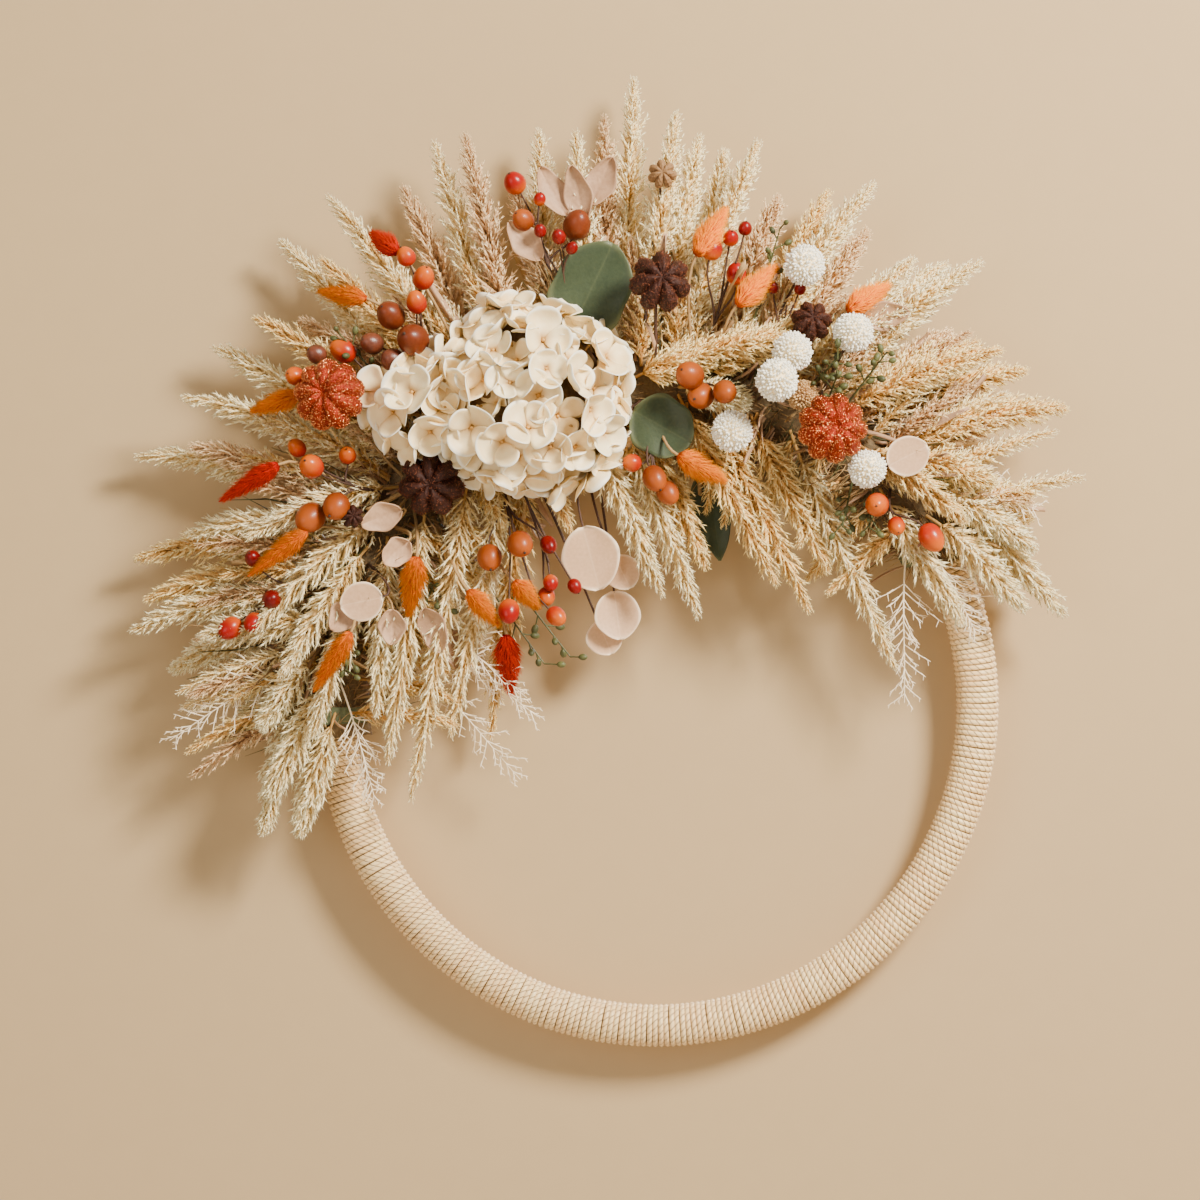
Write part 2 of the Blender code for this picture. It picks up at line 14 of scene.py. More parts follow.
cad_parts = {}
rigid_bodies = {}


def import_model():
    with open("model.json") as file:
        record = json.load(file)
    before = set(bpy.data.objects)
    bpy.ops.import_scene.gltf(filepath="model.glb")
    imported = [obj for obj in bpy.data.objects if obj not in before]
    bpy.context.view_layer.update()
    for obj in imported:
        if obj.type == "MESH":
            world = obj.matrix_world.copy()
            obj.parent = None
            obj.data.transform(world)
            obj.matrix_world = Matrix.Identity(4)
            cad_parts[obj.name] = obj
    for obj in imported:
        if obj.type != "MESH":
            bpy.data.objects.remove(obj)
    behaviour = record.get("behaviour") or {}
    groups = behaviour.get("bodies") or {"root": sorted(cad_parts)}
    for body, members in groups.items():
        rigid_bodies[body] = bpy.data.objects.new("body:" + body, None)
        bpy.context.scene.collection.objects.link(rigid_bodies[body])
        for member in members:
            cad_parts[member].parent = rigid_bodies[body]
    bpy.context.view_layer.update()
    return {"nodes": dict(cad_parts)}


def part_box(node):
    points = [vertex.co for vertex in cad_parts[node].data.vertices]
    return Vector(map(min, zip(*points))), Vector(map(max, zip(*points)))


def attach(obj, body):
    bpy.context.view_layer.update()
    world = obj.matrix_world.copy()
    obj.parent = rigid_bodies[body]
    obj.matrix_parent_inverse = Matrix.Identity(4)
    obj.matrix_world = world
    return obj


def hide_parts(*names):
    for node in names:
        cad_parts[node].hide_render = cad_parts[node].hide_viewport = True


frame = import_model()
BODY = "wreath"
GOLDEN_TURN = 2.39996
chance = np.random.default_rng(20)

# %% [markdown]
# Every flower is placed by an angle round the hoop, a distance out from the hoop's centreline, and a distance
# forward of its middle plane. The hoop itself is measured from its core, so the flowers follow the frame.

# %% Measure the hoop
low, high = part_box("hoop_core")
HOOP = (low + high) / 2
core_points = np.array([tuple(v.co) for v in frame["nodes"]["hoop_core"].data.vertices])
from_middle = np.hypot(core_points[:, 0] - HOOP.x, core_points[:, 2] - HOOP.z)
RING_R = float(from_middle.max() + from_middle.min()) / 2
base_low, base_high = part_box("swag_base")
BASE_HALF_W = 0.021
BASE_FRONT = HOOP.y - base_low.y
WRAP_R = HOOP.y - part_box("jute_wrap")[0].y
UP = Vector((0, 0, 1))
FRONT = Vector((0, -1, 0))
print(f"hoop radius {RING_R:.4f}, base front {BASE_FRONT:.4f}, wrap radius {WRAP_R:.4f}")


def at(degrees, out, forward):
    """A point at an angle round the hoop, out from its centreline and forward of its middle plane."""
    angle = math.radians(degrees)
    reach = RING_R + out
    return Vector((HOOP.x + reach * math.cos(angle), HOOP.y - forward, HOOP.z + reach * math.sin(angle)))


# %% Camera, wall, floor and light
def aim(thing, target):
    thing.rotation_euler = (Vector(target) - thing.location).to_track_quat("-Z", "Y").to_euler()


FRAME_W = 0.698
CAMERA_BACK = 3.2
LOOK_AT = Vector((HOOP.x - 0.0326, HOOP.y, HOOP.z + 0.0605))
camera_data = bpy.data.cameras.new("camera")
camera_data.lens = camera_data.sensor_width * CAMERA_BACK / FRAME_W
camera = bpy.data.objects.new("camera", camera_data)
camera.location = LOOK_AT + FRONT * CAMERA_BACK
aim(camera, LOOK_AT)
bpy.context.scene.collection.objects.link(camera)
bpy.context.scene.camera = camera


def area_light(name, place, size, watts, colour):
    data = bpy.data.lights.new(name, "AREA")
    data.shape = "DISK"
    data.size = size
    data.energy = watts
    data.color = colour
    lamp = bpy.data.objects.new(name, data)
    lamp.location = place
    aim(lamp, LOOK_AT)
    bpy.context.scene.collection.objects.link(lamp)


area_light("key", LOOK_AT + Vector((1.15, -1.35, 1.10)), 0.6, 120, (1.0, 0.93, 0.83))
area_light("fill", LOOK_AT + Vector((-1.4, -2.2, 0.2)), 1.6, 18, (1.0, 0.93, 0.85))
area_light("back", LOOK_AT + Vector((0.9, 1.9, 0.8)), 1.4, 44, (1.0, 0.97, 0.93))
world = bpy.data.worlds.new("studio")
world.use_nodes = True
world.node_tree.nodes["Background"].inputs["Color"].default_value = (0.96, 0.86, 0.735, 1)
world.node_tree.nodes["Background"].inputs["Strength"].default_value = 0.48
bpy.context.scene.world = world


# %% [markdown]
# Natural things are never one colour. A shared node group mixes a dark and a light colour by two layers of
# noise and by a random tone that each copy carries as an attribute. It also gives a height for fine bump.

# %% Shared node group and materials
def variation_group():
    group = bpy.data.node_groups.new("natural_variation", "ShaderNodeTree")
    sockets = group.interface
    for name, value in (("Dark", (0.1, 0.1, 0.1, 1)), ("Light", (0.8, 0.8, 0.8, 1))):
        socket = sockets.new_socket(name, in_out="INPUT", socket_type="NodeSocketColor")
        socket.default_value = value
    for name, value in (("Grain", 300.0), ("Tone Weight", 0.5), ("Blotch", 40.0)):
        socket = sockets.new_socket(name, in_out="INPUT", socket_type="NodeSocketFloat")
        socket.default_value = value
    sockets.new_socket("Colour", in_out="OUTPUT", socket_type="NodeSocketColor")
    sockets.new_socket("Height", in_out="OUTPUT", socket_type="NodeSocketFloat")
    nodes, links = group.nodes, group.links
    given = nodes.new("NodeGroupInput")
    result = nodes.new("NodeGroupOutput")
    where = nodes.new("ShaderNodeTexCoord")
    tone = nodes.new("ShaderNodeAttribute")
    tone.attribute_name = "tone"
    grain = nodes.new("ShaderNodeTexNoise")
    grain.inputs["Detail"].default_value = 4
    blotch = nodes.new("ShaderNodeTexNoise")
    blotch.inputs["Detail"].default_value = 2
    for texture, scale in ((grain, "Grain"), (blotch, "Blotch")):
        links.new(where.outputs["Object"], texture.inputs["Vector"])
        links.new(given.outputs[scale], texture.inputs["Scale"])
    noise = nodes.new("ShaderNodeMath")
    noise.operation = "ADD"
    links.new(grain.outputs["Fac"], noise.inputs[0])
    links.new(blotch.outputs["Fac"], noise.inputs[1])
    spread = nodes.new("ShaderNodeMapRange")
    spread.inputs["From Min"].default_value = 0.7
    spread.inputs["From Max"].default_value = 1.3
    links.new(noise.outputs["Value"], spread.inputs["Value"])
    blend = nodes.new("ShaderNodeMix")
    links.new(given.outputs["Tone Weight"], blend.inputs["Factor"])
    links.new(spread.outputs["Result"], blend.inputs["A"])
    links.new(tone.outputs["Fac"], blend.inputs["B"])
    colour = nodes.new("ShaderNodeMix")
    colour.data_type = "RGBA"
    links.new(blend.outputs["Result"], colour.inputs["Factor"])
    links.new(given.outputs["Dark"], colour.inputs["A"])
    links.new(given.outputs["Light"], colour.inputs["B"])
    links.new(colour.outputs["Result"], result.inputs["Colour"])
    links.new(grain.outputs["Fac"], result.inputs["Height"])
    return group


VARIATION = variation_group()


def colour_mix(nodes, links, factor, first, second):
    mix = nodes.new("ShaderNodeMix")
    mix.data_type = "RGBA"
    for socket, value in ((mix.inputs["Factor"], factor), (mix.inputs["A"], first),
                          (mix.inputs["B"], second)):
        if isinstance(value, bpy.types.NodeSocket):
            links.new(value, socket)
        else:
            socket.default_value = value
    return mix.outputs["Result"]


def dress(name, dark, light, roughness, grain=300.0, blotch=40.0, tone_weight=0.5, bump=0.3, depth=0.0004,
          tip=None, tip_range=(0.3, 1.0), root=None, root_range=(0.25, 0.0), **constants):
    """A Principled finish of the varied colours. tip and root are colours at the ends of each copy."""
    made = bpy.data.materials.new(name)
    made.use_nodes = True
    nodes, links = made.node_tree.nodes, made.node_tree.links
    shader = nodes["Principled BSDF"]
    shader.inputs["Roughness"].default_value = roughness
    for key, value in constants.items():
        shader.inputs[key.replace("_", " ")].default_value = value
    varied = nodes.new("ShaderNodeGroup")
    varied.node_tree = VARIATION
    varied.inputs["Dark"].default_value = (*dark, 1)
    varied.inputs["Light"].default_value = (*light, 1)
    varied.inputs["Grain"].default_value = grain
    varied.inputs["Blotch"].default_value = blotch
    varied.inputs["Tone Weight"].default_value = tone_weight
    colour = varied.outputs["Colour"]
    for end, (start, stop) in ((root, root_range), (tip, tip_range)):
        if end is None:
            continue
        along = nodes.new("ShaderNodeAttribute")
        along.attribute_name = "along"
        share = nodes.new("ShaderNodeMapRange")
        share.interpolation_type = "SMOOTHSTEP"
        share.inputs["From Min"].default_value = start
        share.inputs["From Max"].default_value = stop
        links.new(along.outputs["Fac"], share.inputs["Value"])
        colour = colour_mix(nodes, links, share.outputs["Result"], colour, (*end, 1))
    links.new(colour, shader.inputs["Base Color"])
    relief = nodes.new("ShaderNodeBump")
    relief.inputs["Strength"].default_value = bump
    relief.inputs["Distance"].default_value = depth
    links.new(varied.outputs["Height"], relief.inputs["Height"])
    links.new(relief.outputs["Normal"], shader.inputs["Normal"])
    return made


PLUME_CREAM = dress("plume_cream", (0.78, 0.49, 0.16), (1.0, 0.82, 0.42), 0.75, tip=(1.0, 0.92, 0.60),
                    root=(0.52, 0.28, 0.075), bump=0.1, Specular_IOR_Level=0.2)
PLUME_GOLD = dress("plume_gold", (0.64, 0.34, 0.085), (1.0, 0.67, 0.25), 0.75, tip=(1.0, 0.83, 0.40),
                   root=(0.42, 0.19, 0.045), tip_range=(0.35, 1.0), bump=0.1, Specular_IOR_Level=0.2)
PLUME_TAUPE = dress("plume_taupe", (0.42, 0.225, 0.095), (0.82, 0.53, 0.27), 0.75, tip=(0.95, 0.71, 0.41),
                    root=(0.28, 0.13, 0.05), tip_range=(0.35, 1.0), bump=0.1, Specular_IOR_Level=0.2)
# hydrangea petals: the root colour is painted shade, darker towards each petal's claw in the floret's heart
PETAL = dress("hydrangea_petal", (0.94, 0.69, 0.34), (1.0, 0.87, 0.56), 0.5, grain=420, blotch=60, bump=0.12,
              tip=(1.0, 0.96, 0.78), tip_range=(0.70, 1.0),
              root=(0.56, 0.30, 0.075), root_range=(0.48, 0.0), Subsurface_Weight=0.08,
              Subsurface_Radius=(0.003, 0.002, 0.001), Subsurface_Scale=1.0)
COPPER = dress("copper_glitter", (0.14, 0.008, 0.0015), (0.42, 0.036, 0.005), 0.30, grain=1100, blotch=160,
               bump=1.0, depth=0.0010, Metallic=0.7)
SPARK = dress("glitter_grain", (0.42, 0.045, 0.008), (1.0, 0.46, 0.17), 0.16, tone_weight=0.95, Metallic=1.0)
POD = dress("brown_pod", (0.010, 0.0020, 0.0010), (0.070, 0.016, 0.006), 0.6, grain=900, blotch=160, bump=0.9,
            depth=0.0008, tone_weight=0.8, Specular_IOR_Level=0.3)
POD_RIDGE = dress("pod_ridge", (0.055, 0.012, 0.0045), (0.26, 0.075, 0.032), 0.6, grain=900, blotch=160,
                  bump=0.5,
                  tone_weight=0.85, Specular_IOR_Level=0.3)
BALL_WHITE = dress("white_ball", (1.0, 0.90, 0.64), (1.0, 0.97, 0.82), 0.7, tone_weight=0.6, bump=0.1,
                   root=(1.0, 0.80, 0.48), root_range=(0.5, 0.0), tip=(1.0, 0.98, 0.88),
                   Specular_IOR_Level=0.2)
BALL_TAN = dress("tan_ball", (0.42, 0.22, 0.07), (0.82, 0.55, 0.25), 0.7, tone_weight=0.6, bump=0.1,
                 root=(0.25, 0.13, 0.05), root_range=(0.6, 0.0))
TAIL_ORANGE = dress("orange_tail", (0.70, 0.105, 0.0004), (0.88, 0.22, 0.0005), 0.8, tone_weight=0.8,
                    bump=0.1,
                    tip=(0.92, 0.31, 0.001), root=(0.40, 0.036, 0.0003), Specular_IOR_Level=0.1)
TAIL_RED = dress("red_tail", (0.34, 0.002, 0.0003), (0.66, 0.014, 0.0004), 0.8, tone_weight=0.8, bump=0.1,
                 tip=(0.80, 0.055, 0.0008), root=(0.16, 0.0012, 0.0003), Specular_IOR_Level=0.1)
BERRY = dress("orange_berry", (0.27, 0.003, 0.0003), (0.44, 0.024, 0.0004), 0.30, grain=500, blotch=110,
              bump=0.06, tip=(0.56, 0.100, 0.0005), tip_range=(0.35, 1.0), Coat_Weight=0.1,
              Specular_IOR_Level=0.25)
HIP = dress("red_hip", (0.46, 0.048, 0.0004), (0.58, 0.105, 0.0008), 0.30, grain=500, blotch=110,
            bump=0.06, tip=(0.28, 0.0015, 0.0004), tip_range=(0.15, 0.72), Coat_Weight=0.1,
            Specular_IOR_Level=0.25)
CRIMSON = dress("crimson_berry", (0.10, 0.0008, 0.0008), (0.25, 0.002, 0.0015), 0.32, grain=500,
                blotch=110, bump=0.06, Coat_Weight=0.1, Specular_IOR_Level=0.25)
SATIN = dress("satin_berry", (0.16, 0.024, 0.002), (0.27, 0.050, 0.0045), 0.38, grain=700, blotch=90,
              bump=0.12, tip=(0.34, 0.068, 0.006), Coat_Weight=0.05, Specular_IOR_Level=0.25)
NUT = dress("terracotta_berry", (0.10, 0.016, 0.0035), (0.20, 0.038, 0.009), 0.38, grain=700, blotch=90,
            bump=0.15, Coat_Weight=0.05, Specular_IOR_Level=0.25)
DARK_NUT = dress("brown_berry", (0.080, 0.018, 0.008), (0.24, 0.062, 0.024), 0.38, grain=900, blotch=120,
                 bump=0.4)
BLUSH = dress("blush_petal", (0.34, 0.19, 0.10), (0.62, 0.39, 0.23), 0.6, grain=500, blotch=60)
TWIG = dress("dark_twig", (0.022, 0.009, 0.005), (0.10, 0.042, 0.020), 0.7, grain=900, blotch=200, bump=0.5)
BUD = dress("green_bud", (0.026, 0.032, 0.008), (0.12, 0.13, 0.036), 0.55, grain=900, blotch=120)
WISP = dress("white_wisp", (0.84, 0.66, 0.42), (1.0, 0.90, 0.70), 0.7, grain=700, blotch=120, bump=0.2)
STALK = dress("dry_stalk", (0.15, 0.070, 0.022), (0.60, 0.38, 0.15), 0.8, grain=700, blotch=120, bump=0.4,
              tone_weight=0.75)
CALYX = dress("calyx", (0.010, 0.006, 0.004), (0.045, 0.020, 0.010), 0.8, grain=900, blotch=120, bump=0.4)
print("materials:", len(bpy.data.materials))


# %% [markdown]
# A shape is modelled once with Blender's own primitives and edit operators and kept as points and faces. It
# is then copied by a list of placements into one mesh. Each copy gets a tone, and each point its share of the
# way from root to tip, which the finishes read.

# %% Shape helpers
class Shape:
    """Points, triangles and the share along of each point."""

    def __init__(self, points, faces, along, smooth=True, uvs=None):
        self.points = np.asarray(points, float)
        self.faces = np.asarray(faces, np.int64)
        self.along = np.asarray(along, float)
        self.smooth = smooth
        self.uvs = uvs


def deselect():
    if bpy.context.mode != "OBJECT":
        bpy.ops.object.mode_set(mode="OBJECT")
    bpy.ops.object.select_all(action="DESELECT")


def taken(made, along=None, keep_uv=False):
    """The evaluated triangles of an object, which is then removed. along maps a point to its share."""
    bpy.context.view_layer.update()
    graph = bpy.context.evaluated_depsgraph_get()
    mesh = bpy.data.meshes.new_from_object(made.evaluated_get(graph))
    mesh.transform(made.matrix_world)
    mesh.calc_loop_triangles()
    points = np.empty(len(mesh.vertices) * 3)
    mesh.vertices.foreach_get("co", points)
    points = points.reshape(-1, 3)
    faces = np.empty(len(mesh.loop_triangles) * 3, np.int32)
    mesh.loop_triangles.foreach_get("vertices", faces)
    faces = faces.reshape(-1, 3)
    # one run may list the faces of a shape in another order than the next run, so they are sorted
    corners = (faces.argmin(axis=1)[:, None] + np.arange(3)) % 3
    faces = np.take_along_axis(faces, corners, axis=1)
    order = np.lexsort(faces.T[::-1])
    faces = faces[order]
    uvs = None
    if keep_uv:
        loops = np.empty(len(mesh.loop_triangles) * 3, np.int32)
        mesh.loop_triangles.foreach_get("loops", loops)
        flat = np.empty(len(mesh.loops) * 2)
        mesh.uv_layers[0].data.foreach_get("uv", flat)
        uvs = flat.reshape(-1, 2)[loops].reshape(-1, 3, 2)
        uvs = np.take_along_axis(uvs, corners[:, :, None], axis=1)[order].reshape(-1, 2)
    share = np.array([along(p) for p in points]) if along else np.zeros(len(points))
    data = made.data
    bpy.data.objects.remove(made, do_unlink=True)
    bpy.data.meshes.remove(mesh)
    if isinstance(data, bpy.types.Curve):
        bpy.data.curves.remove(data)
    return Shape(points, faces, np.clip(share, 0, 1), uvs=uvs)


def merged(shapes):
    points, faces, along, offset = [], [], [], 0
    for shape in shapes:
        points.append(shape.points)
        faces.append(shape.faces + offset)
        along.append(shape.along)
        offset += len(shape.points)
    return Shape(np.concatenate(points), np.concatenate(faces), np.concatenate(along))


def placed(shape, matrices, tones=None):
    """Copies of the shape: (points, faces, along, tones) for all the 4x4 placements."""
    matrices = np.asarray(matrices, float)
    count, size = len(matrices), len(shape.points)
    if tones is None:
        tones = chance.random(count)
    points = np.einsum("nij,kj->nki", matrices[:, :3, :3], shape.points) + matrices[:, None, :3, 3]
    faces = shape.faces[None] + (np.arange(count) * size)[:, None, None]
    return (points.reshape(-1, 3), faces.reshape(-1, 3), np.tile(shape.along, count), np.repeat(tones, size),
            None if shape.uvs is None else np.tile(shape.uvs, (count, 1)))


def piece(name, groups, finishes, nodes=(), smooth=True):
    """One mesh object from groups of placed copies, with one finish a group, riding on the wreath."""
    points, faces, along, tones, slots, uvs, offset = [], [], [], [], [], [], 0
    for index, group in enumerate(groups):
        points.append(group[0])
        faces.append(group[1] + offset)
        along.append(group[2])
        tones.append(group[3])
        slots.append(np.full(len(group[1]), index))
        uvs.append(group[4] if group[4] is not None else np.zeros((len(group[1]) * 3, 2)))
        offset += len(group[0])
    points, faces = np.concatenate(points), np.concatenate(faces)
    mesh = bpy.data.meshes.new(name)
    mesh.vertices.add(len(points))
    mesh.vertices.foreach_set("co", points.ravel())
    mesh.loops.add(len(faces) * 3)
    mesh.loops.foreach_set("vertex_index", faces.ravel())
    mesh.polygons.add(len(faces))
    mesh.polygons.foreach_set("loop_start", np.arange(0, len(faces) * 3, 3))
    mesh.polygons.foreach_set("material_index", np.concatenate(slots))
    mesh.polygons.foreach_set("use_smooth", np.full(len(faces), smooth))
    mesh.update(calc_edges=True)
    for key, values in (("along", along), ("tone", tones)):
        mesh.attributes.new(key, "FLOAT", "POINT").data.foreach_set("value", np.concatenate(values))
    mesh.uv_layers.new(name="UVMap").data.foreach_set("uv", np.concatenate(uvs).ravel())
    mesh.validate()
    for finish in finishes:
        mesh.materials.append(finish)
    made = bpy.data.objects.new(name, mesh)
    bpy.context.scene.collection.objects.link(made)
    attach(made, BODY)
    if nodes:
        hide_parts(*nodes)
    return made


def facing(place, direction, roll=0.0, scale=1.0):
    """A placement with the shape's +Z along the direction, rolled about it."""
    turn = Vector(direction).to_track_quat("Z", "Y").to_matrix() @ Matrix.Rotation(roll, 3, "Z")
    scale = (scale,) * 3 if isinstance(scale, (int, float)) else scale
    matrix = Matrix.Translation(place) @ (turn @ Matrix.Diagonal(scale)).to_4x4()
    return np.array(matrix)


def cone(base, tip, radius, sides=3, tip_radius=0.0):
    """A tapered spike from base to tip, as an object."""
    base, tip = Vector(base), Vector(tip)
    deselect()
    along = tip - base
    bpy.ops.mesh.primitive_cone_add(vertices=sides, radius1=radius, radius2=tip_radius, depth=along.length,
                                    location=(base + tip) / 2,
                                    rotation=along.to_track_quat("Z", "Y").to_euler())
    return bpy.context.object


def joined(parts):
    deselect()
    for part in parts:
        part.select_set(True)
    bpy.context.view_layer.objects.active = parts[0]
    bpy.ops.object.join()
    return bpy.context.object


def wires(lines, sides=1):
    """Round tapered wires, each a list of points and a list of radii, as one shape along its length."""
    curve = bpy.data.curves.new("wire", "CURVE")
    curve.dimensions = "3D"
    curve.bevel_depth = 1.0
    curve.bevel_resolution = sides
    curve.use_fill_caps = True
    for points, radii in lines:
        spline = curve.splines.new("POLY")
        spline.points.add(len(points) - 1)
        for point, place, radius in zip(spline.points, points, radii):
            point.co = (*place, 1.0)
            point.radius = radius
    made = bpy.data.objects.new("wire", curve)
    bpy.context.scene.collection.objects.link(made)
    return taken(made)


def once(shape, tone=0.5):
    """The shape as it stands, as one group for a piece."""
    return placed(shape, [np.eye(4)], [tone])


def bend(start, leave, end, arrive, count, pull=0.38):
    """Points of a smooth bend from start to end, leaving and arriving along the directions given."""
    reach = (end - start).length * pull
    first, second = start + leave * reach, end - arrive * reach
    points = []
    for k in range(count):
        t = k / (count - 1)
        s = 1 - t
        points.append(start * s**3 + first * 3 * s * s * t + second * 3 * s * t * t + end * t**3)
    return points


def root_on_base(degrees, around):
    """Where a stem meets the base, and its direction there. Around is 0 outward, 90 forward."""
    angle = math.radians(around)

    def off_base(clear):
        return at(degrees, (BASE_HALF_W + clear) * math.cos(angle), (BASE_FRONT + clear) * math.sin(angle))

    start = off_base(0.0)
    return start, (off_base(BASE_HALF_W) - start).normalized()


# %% [markdown]
# The hoop is wound with two-ply cord, one turn beside the next. One turn is modelled as a thin ring, and the
# turns are set round the hoop at the cord's own pitch. The twist of the two plies is drawn from the turn's
# UVs, with painted shade in the seams between the plies and pale streaks along the fibres that are partly a
# painted highlight.

# %% Wound cord
CORD_R = 0.00168
PITCH = 0.00322
WRAP_FROM, WRAP_TO = 184.5, 388.0


def cord_finish():
    made = dress("jute_cord", (0.86, 0.51, 0.19), (1.0, 0.76, 0.36), 0.38, grain=700, blotch=60,
                 tone_weight=0.35, bump=0.35, depth=0.0003)
    nodes, links = made.node_tree.nodes, made.node_tree.links
    shader = nodes["Principled BSDF"]
    plain = shader.inputs["Base Color"].links[0].from_socket
    fine = shader.inputs["Normal"].links[0].from_node
    flat = nodes.new("ShaderNodeUVMap")
    flat.uv_map = "UVMap"
    parts = nodes.new("ShaderNodeSeparateXYZ")
    links.new(flat.outputs["UV"], parts.inputs["Vector"])

    def math_node(operation, first, second=0.0):
        step = nodes.new("ShaderNodeMath")
        step.operation = operation
        for socket, value in zip(step.inputs, (first, second)):
            if isinstance(value, bpy.types.NodeSocket):
                links.new(value, socket)
            else:
                socket.default_value = value
        return step.outputs["Value"]

    around = math_node("MULTIPLY", parts.outputs["X"], math.tau * 9)
    across = math_node("MULTIPLY", parts.outputs["Y"], math.tau)
    ply = math_node("ABSOLUTE", math_node("SINE", math_node("ADD", around, across)))
    # the dark colour in the seams between the plies is painted shade; the same seam also drives the twist
    # bump
    seam = nodes.new("ShaderNodeMapRange")
    seam.interpolation_type = "SMOOTHSTEP"
    seam.inputs["From Min"].default_value = 0.0
    seam.inputs["From Max"].default_value = 0.42
    links.new(ply, seam.inputs["Value"])
    shade = colour_mix(nodes, links, seam.outputs["Result"], (0.36, 0.175, 0.060, 1), plain)
    # pale cream streaks along the fibres, up to 30 percent: partly fibre colour, partly painted highlight
    fibre = math_node("SINE", math_node("ADD", math_node("MULTIPLY", around, 5.0),
                                        math_node("MULTIPLY", across, 9.0)))
    share = nodes.new("ShaderNodeMapRange")
    share.inputs["From Min"].default_value = -1.0
    share.inputs["To Max"].default_value = 0.30
    links.new(fibre, share.inputs["Value"])
    bright = colour_mix(nodes, links, share.outputs["Result"], shade, (1.0, 0.90, 0.62, 1))
    links.new(bright, shader.inputs["Base Color"])
    twist = nodes.new("ShaderNodeBump")
    twist.inputs["Strength"].default_value = 0.8
    twist.inputs["Distance"].default_value = 0.0008
    links.new(seam.outputs["Result"], twist.inputs["Height"])
    links.new(fine.outputs["Normal"], twist.inputs["Normal"])
    links.new(twist.outputs["Normal"], shader.inputs["Normal"])
    shader.inputs["Sheen Weight"].default_value = 0.15
    return made


def wound_cord():
    deselect()
    bpy.ops.mesh.primitive_torus_add(major_segments=32, minor_segments=6, major_radius=WRAP_R - CORD_R * 0.9,
                                     minor_radius=CORD_R)
    turn = taken(bpy.context.object, keep_uv=True)
    count = round(math.radians(WRAP_TO - WRAP_FROM) * RING_R / PITCH)
    turns = []
    for k in range(count):
        degrees = WRAP_FROM + (WRAP_TO - WRAP_FROM) * (k + 0.5) / count
        angle = math.radians(degrees)
        tangent = Vector((-math.sin(angle), 0, math.cos(angle)))
        lean = tangent + FRONT * 0.055 + Vector(chance.normal(0, 0.010, 3))
        matrix = facing(at(degrees, 0, 0), lean.normalized(), chance.random() * 0.5 + 0.11 * k)
        turns.append(matrix)
    finish = cord_finish()
    quarter = math.ceil(count / 4)
    for part in range(4):
        some = turns[part * quarter:(part + 1) * quarter]
        nodes = ["jute_wrap"] if part == 0 else []
        piece(f"cord_winding_{part + 1}", [placed(turn, some)], [finish], nodes)
    print("cord turns:", count)


wound_cord()


# %% [markdown]
# Grass plumes make most of the outline. One spikelet is a thin curved sliver with short hairs on both sides.
# A plume is a bent stem with about two hundred spikelets round it in a spiral, long low down and short at the
# tip, all leaning forward along the stem.

# %% Spikelet and plume
def spikelet_shape(hairs, seed):
    """A hairy sliver one unit long, rising along +Z and bowed towards +X."""
    pick = np.random.default_rng(seed)

    def bow(z):
        return 0.10 * math.sin(math.pi * z)

    parts = []
    knots = [0.0, 0.35, 0.7, 1.0]
    widths = [0.046, 0.060, 0.042, 0.0]
    for a, b, wa, wb in zip(knots, knots[1:], widths, widths[1:]):
        parts.append(cone((bow(a), 0, a), (bow(b), 0, b), wa, 3, wb))
    for k in range(hairs):
        z = 0.08 + 0.84 * k / hairs
        side = math.pi * k + pick.normal(0, 0.7)
        length = (0.34 - 0.16 * z) * pick.uniform(0.8, 1.2)
        start = Vector((bow(z), 0, z))
        way = Vector((math.cos(side) * 0.52, math.sin(side) * 0.52, 0.86)).normalized()
        parts.append(cone(start, start + way * length, 0.034, 3))
    return taken(joined(parts), along=lambda p: p[2])


SPIKELETS = [spikelet_shape(8, seed) for seed in (1, 2, 3)]
print("spikelet triangles:", len(SPIKELETS[0].faces))


def sample(points, share):
    """The place and direction at a share of the way along a run of points."""
    place = share * (len(points) - 1)
    low = min(int(place), len(points) - 2)
    return points[low].lerp(points[low + 1], place - low), (points[low + 1] - points[low]).normalized()


def plume(name, root, tip, finish, droop=0.25, full=0.0192, bare=0.14, count=205, nodes=(), pull=0.33):
    """A plume from the base to the tip. full is the length of its longest spikelets."""
    start, leave = root_on_base(*root)
    end = at(*tip)
    way = (end - start).normalized()
    sideways = math.hypot(way.x, way.y)
    arrive = (way - UP * droop * sideways).normalized()
    leave = (leave * 0.4 + way + UP * droop * 0.8 * sideways).normalized()
    tip_room = full * 0.25
    points = bend(start, leave, end - way * tip_room, arrive, 16, pull)
    stem = wires([(points, [0.0010 - 0.0007 * k / 15 for k in range(16)])])
    stem.along[:] = 0.05
    groups = [once(stem, 0.4)]
    roll = chance.random() * math.tau
    places = [[], [], []]
    for k in range(count):
        share = k / count
        where = bare + (1 - bare) * share
        place, forward = sample(points, where)
        swell = math.sin(math.pi * min(1.0, 0.22 + 0.78 * share)) ** 0.7
        length = full * (0.24 + 0.78 * swell) * chance.uniform(0.8, 1.12)
        lean = math.radians(42 - 22 * share + chance.normal(0, 5))
        roll += GOLDEN_TURN + chance.normal(0, 0.15)
        side = forward.orthogonal().normalized()
        side.rotate(Matrix.Rotation(roll, 3, forward))
        direction = forward * math.cos(lean) + side * math.sin(lean) - UP * 0.10
        turn = facing(place, direction, chance.random() * math.tau, (length * 0.9, length * 0.9, length))
        places[k % 3].append(turn)
    for shape, some in zip(SPIKELETS, places):
        groups.append(placed(shape, some))
    return piece(name, groups, [finish] * len(groups), nodes)


REAR, MIDDLE = 8.0, 46.0
C, G, T = PLUME_CREAM, PLUME_GOLD, PLUME_TAUPE
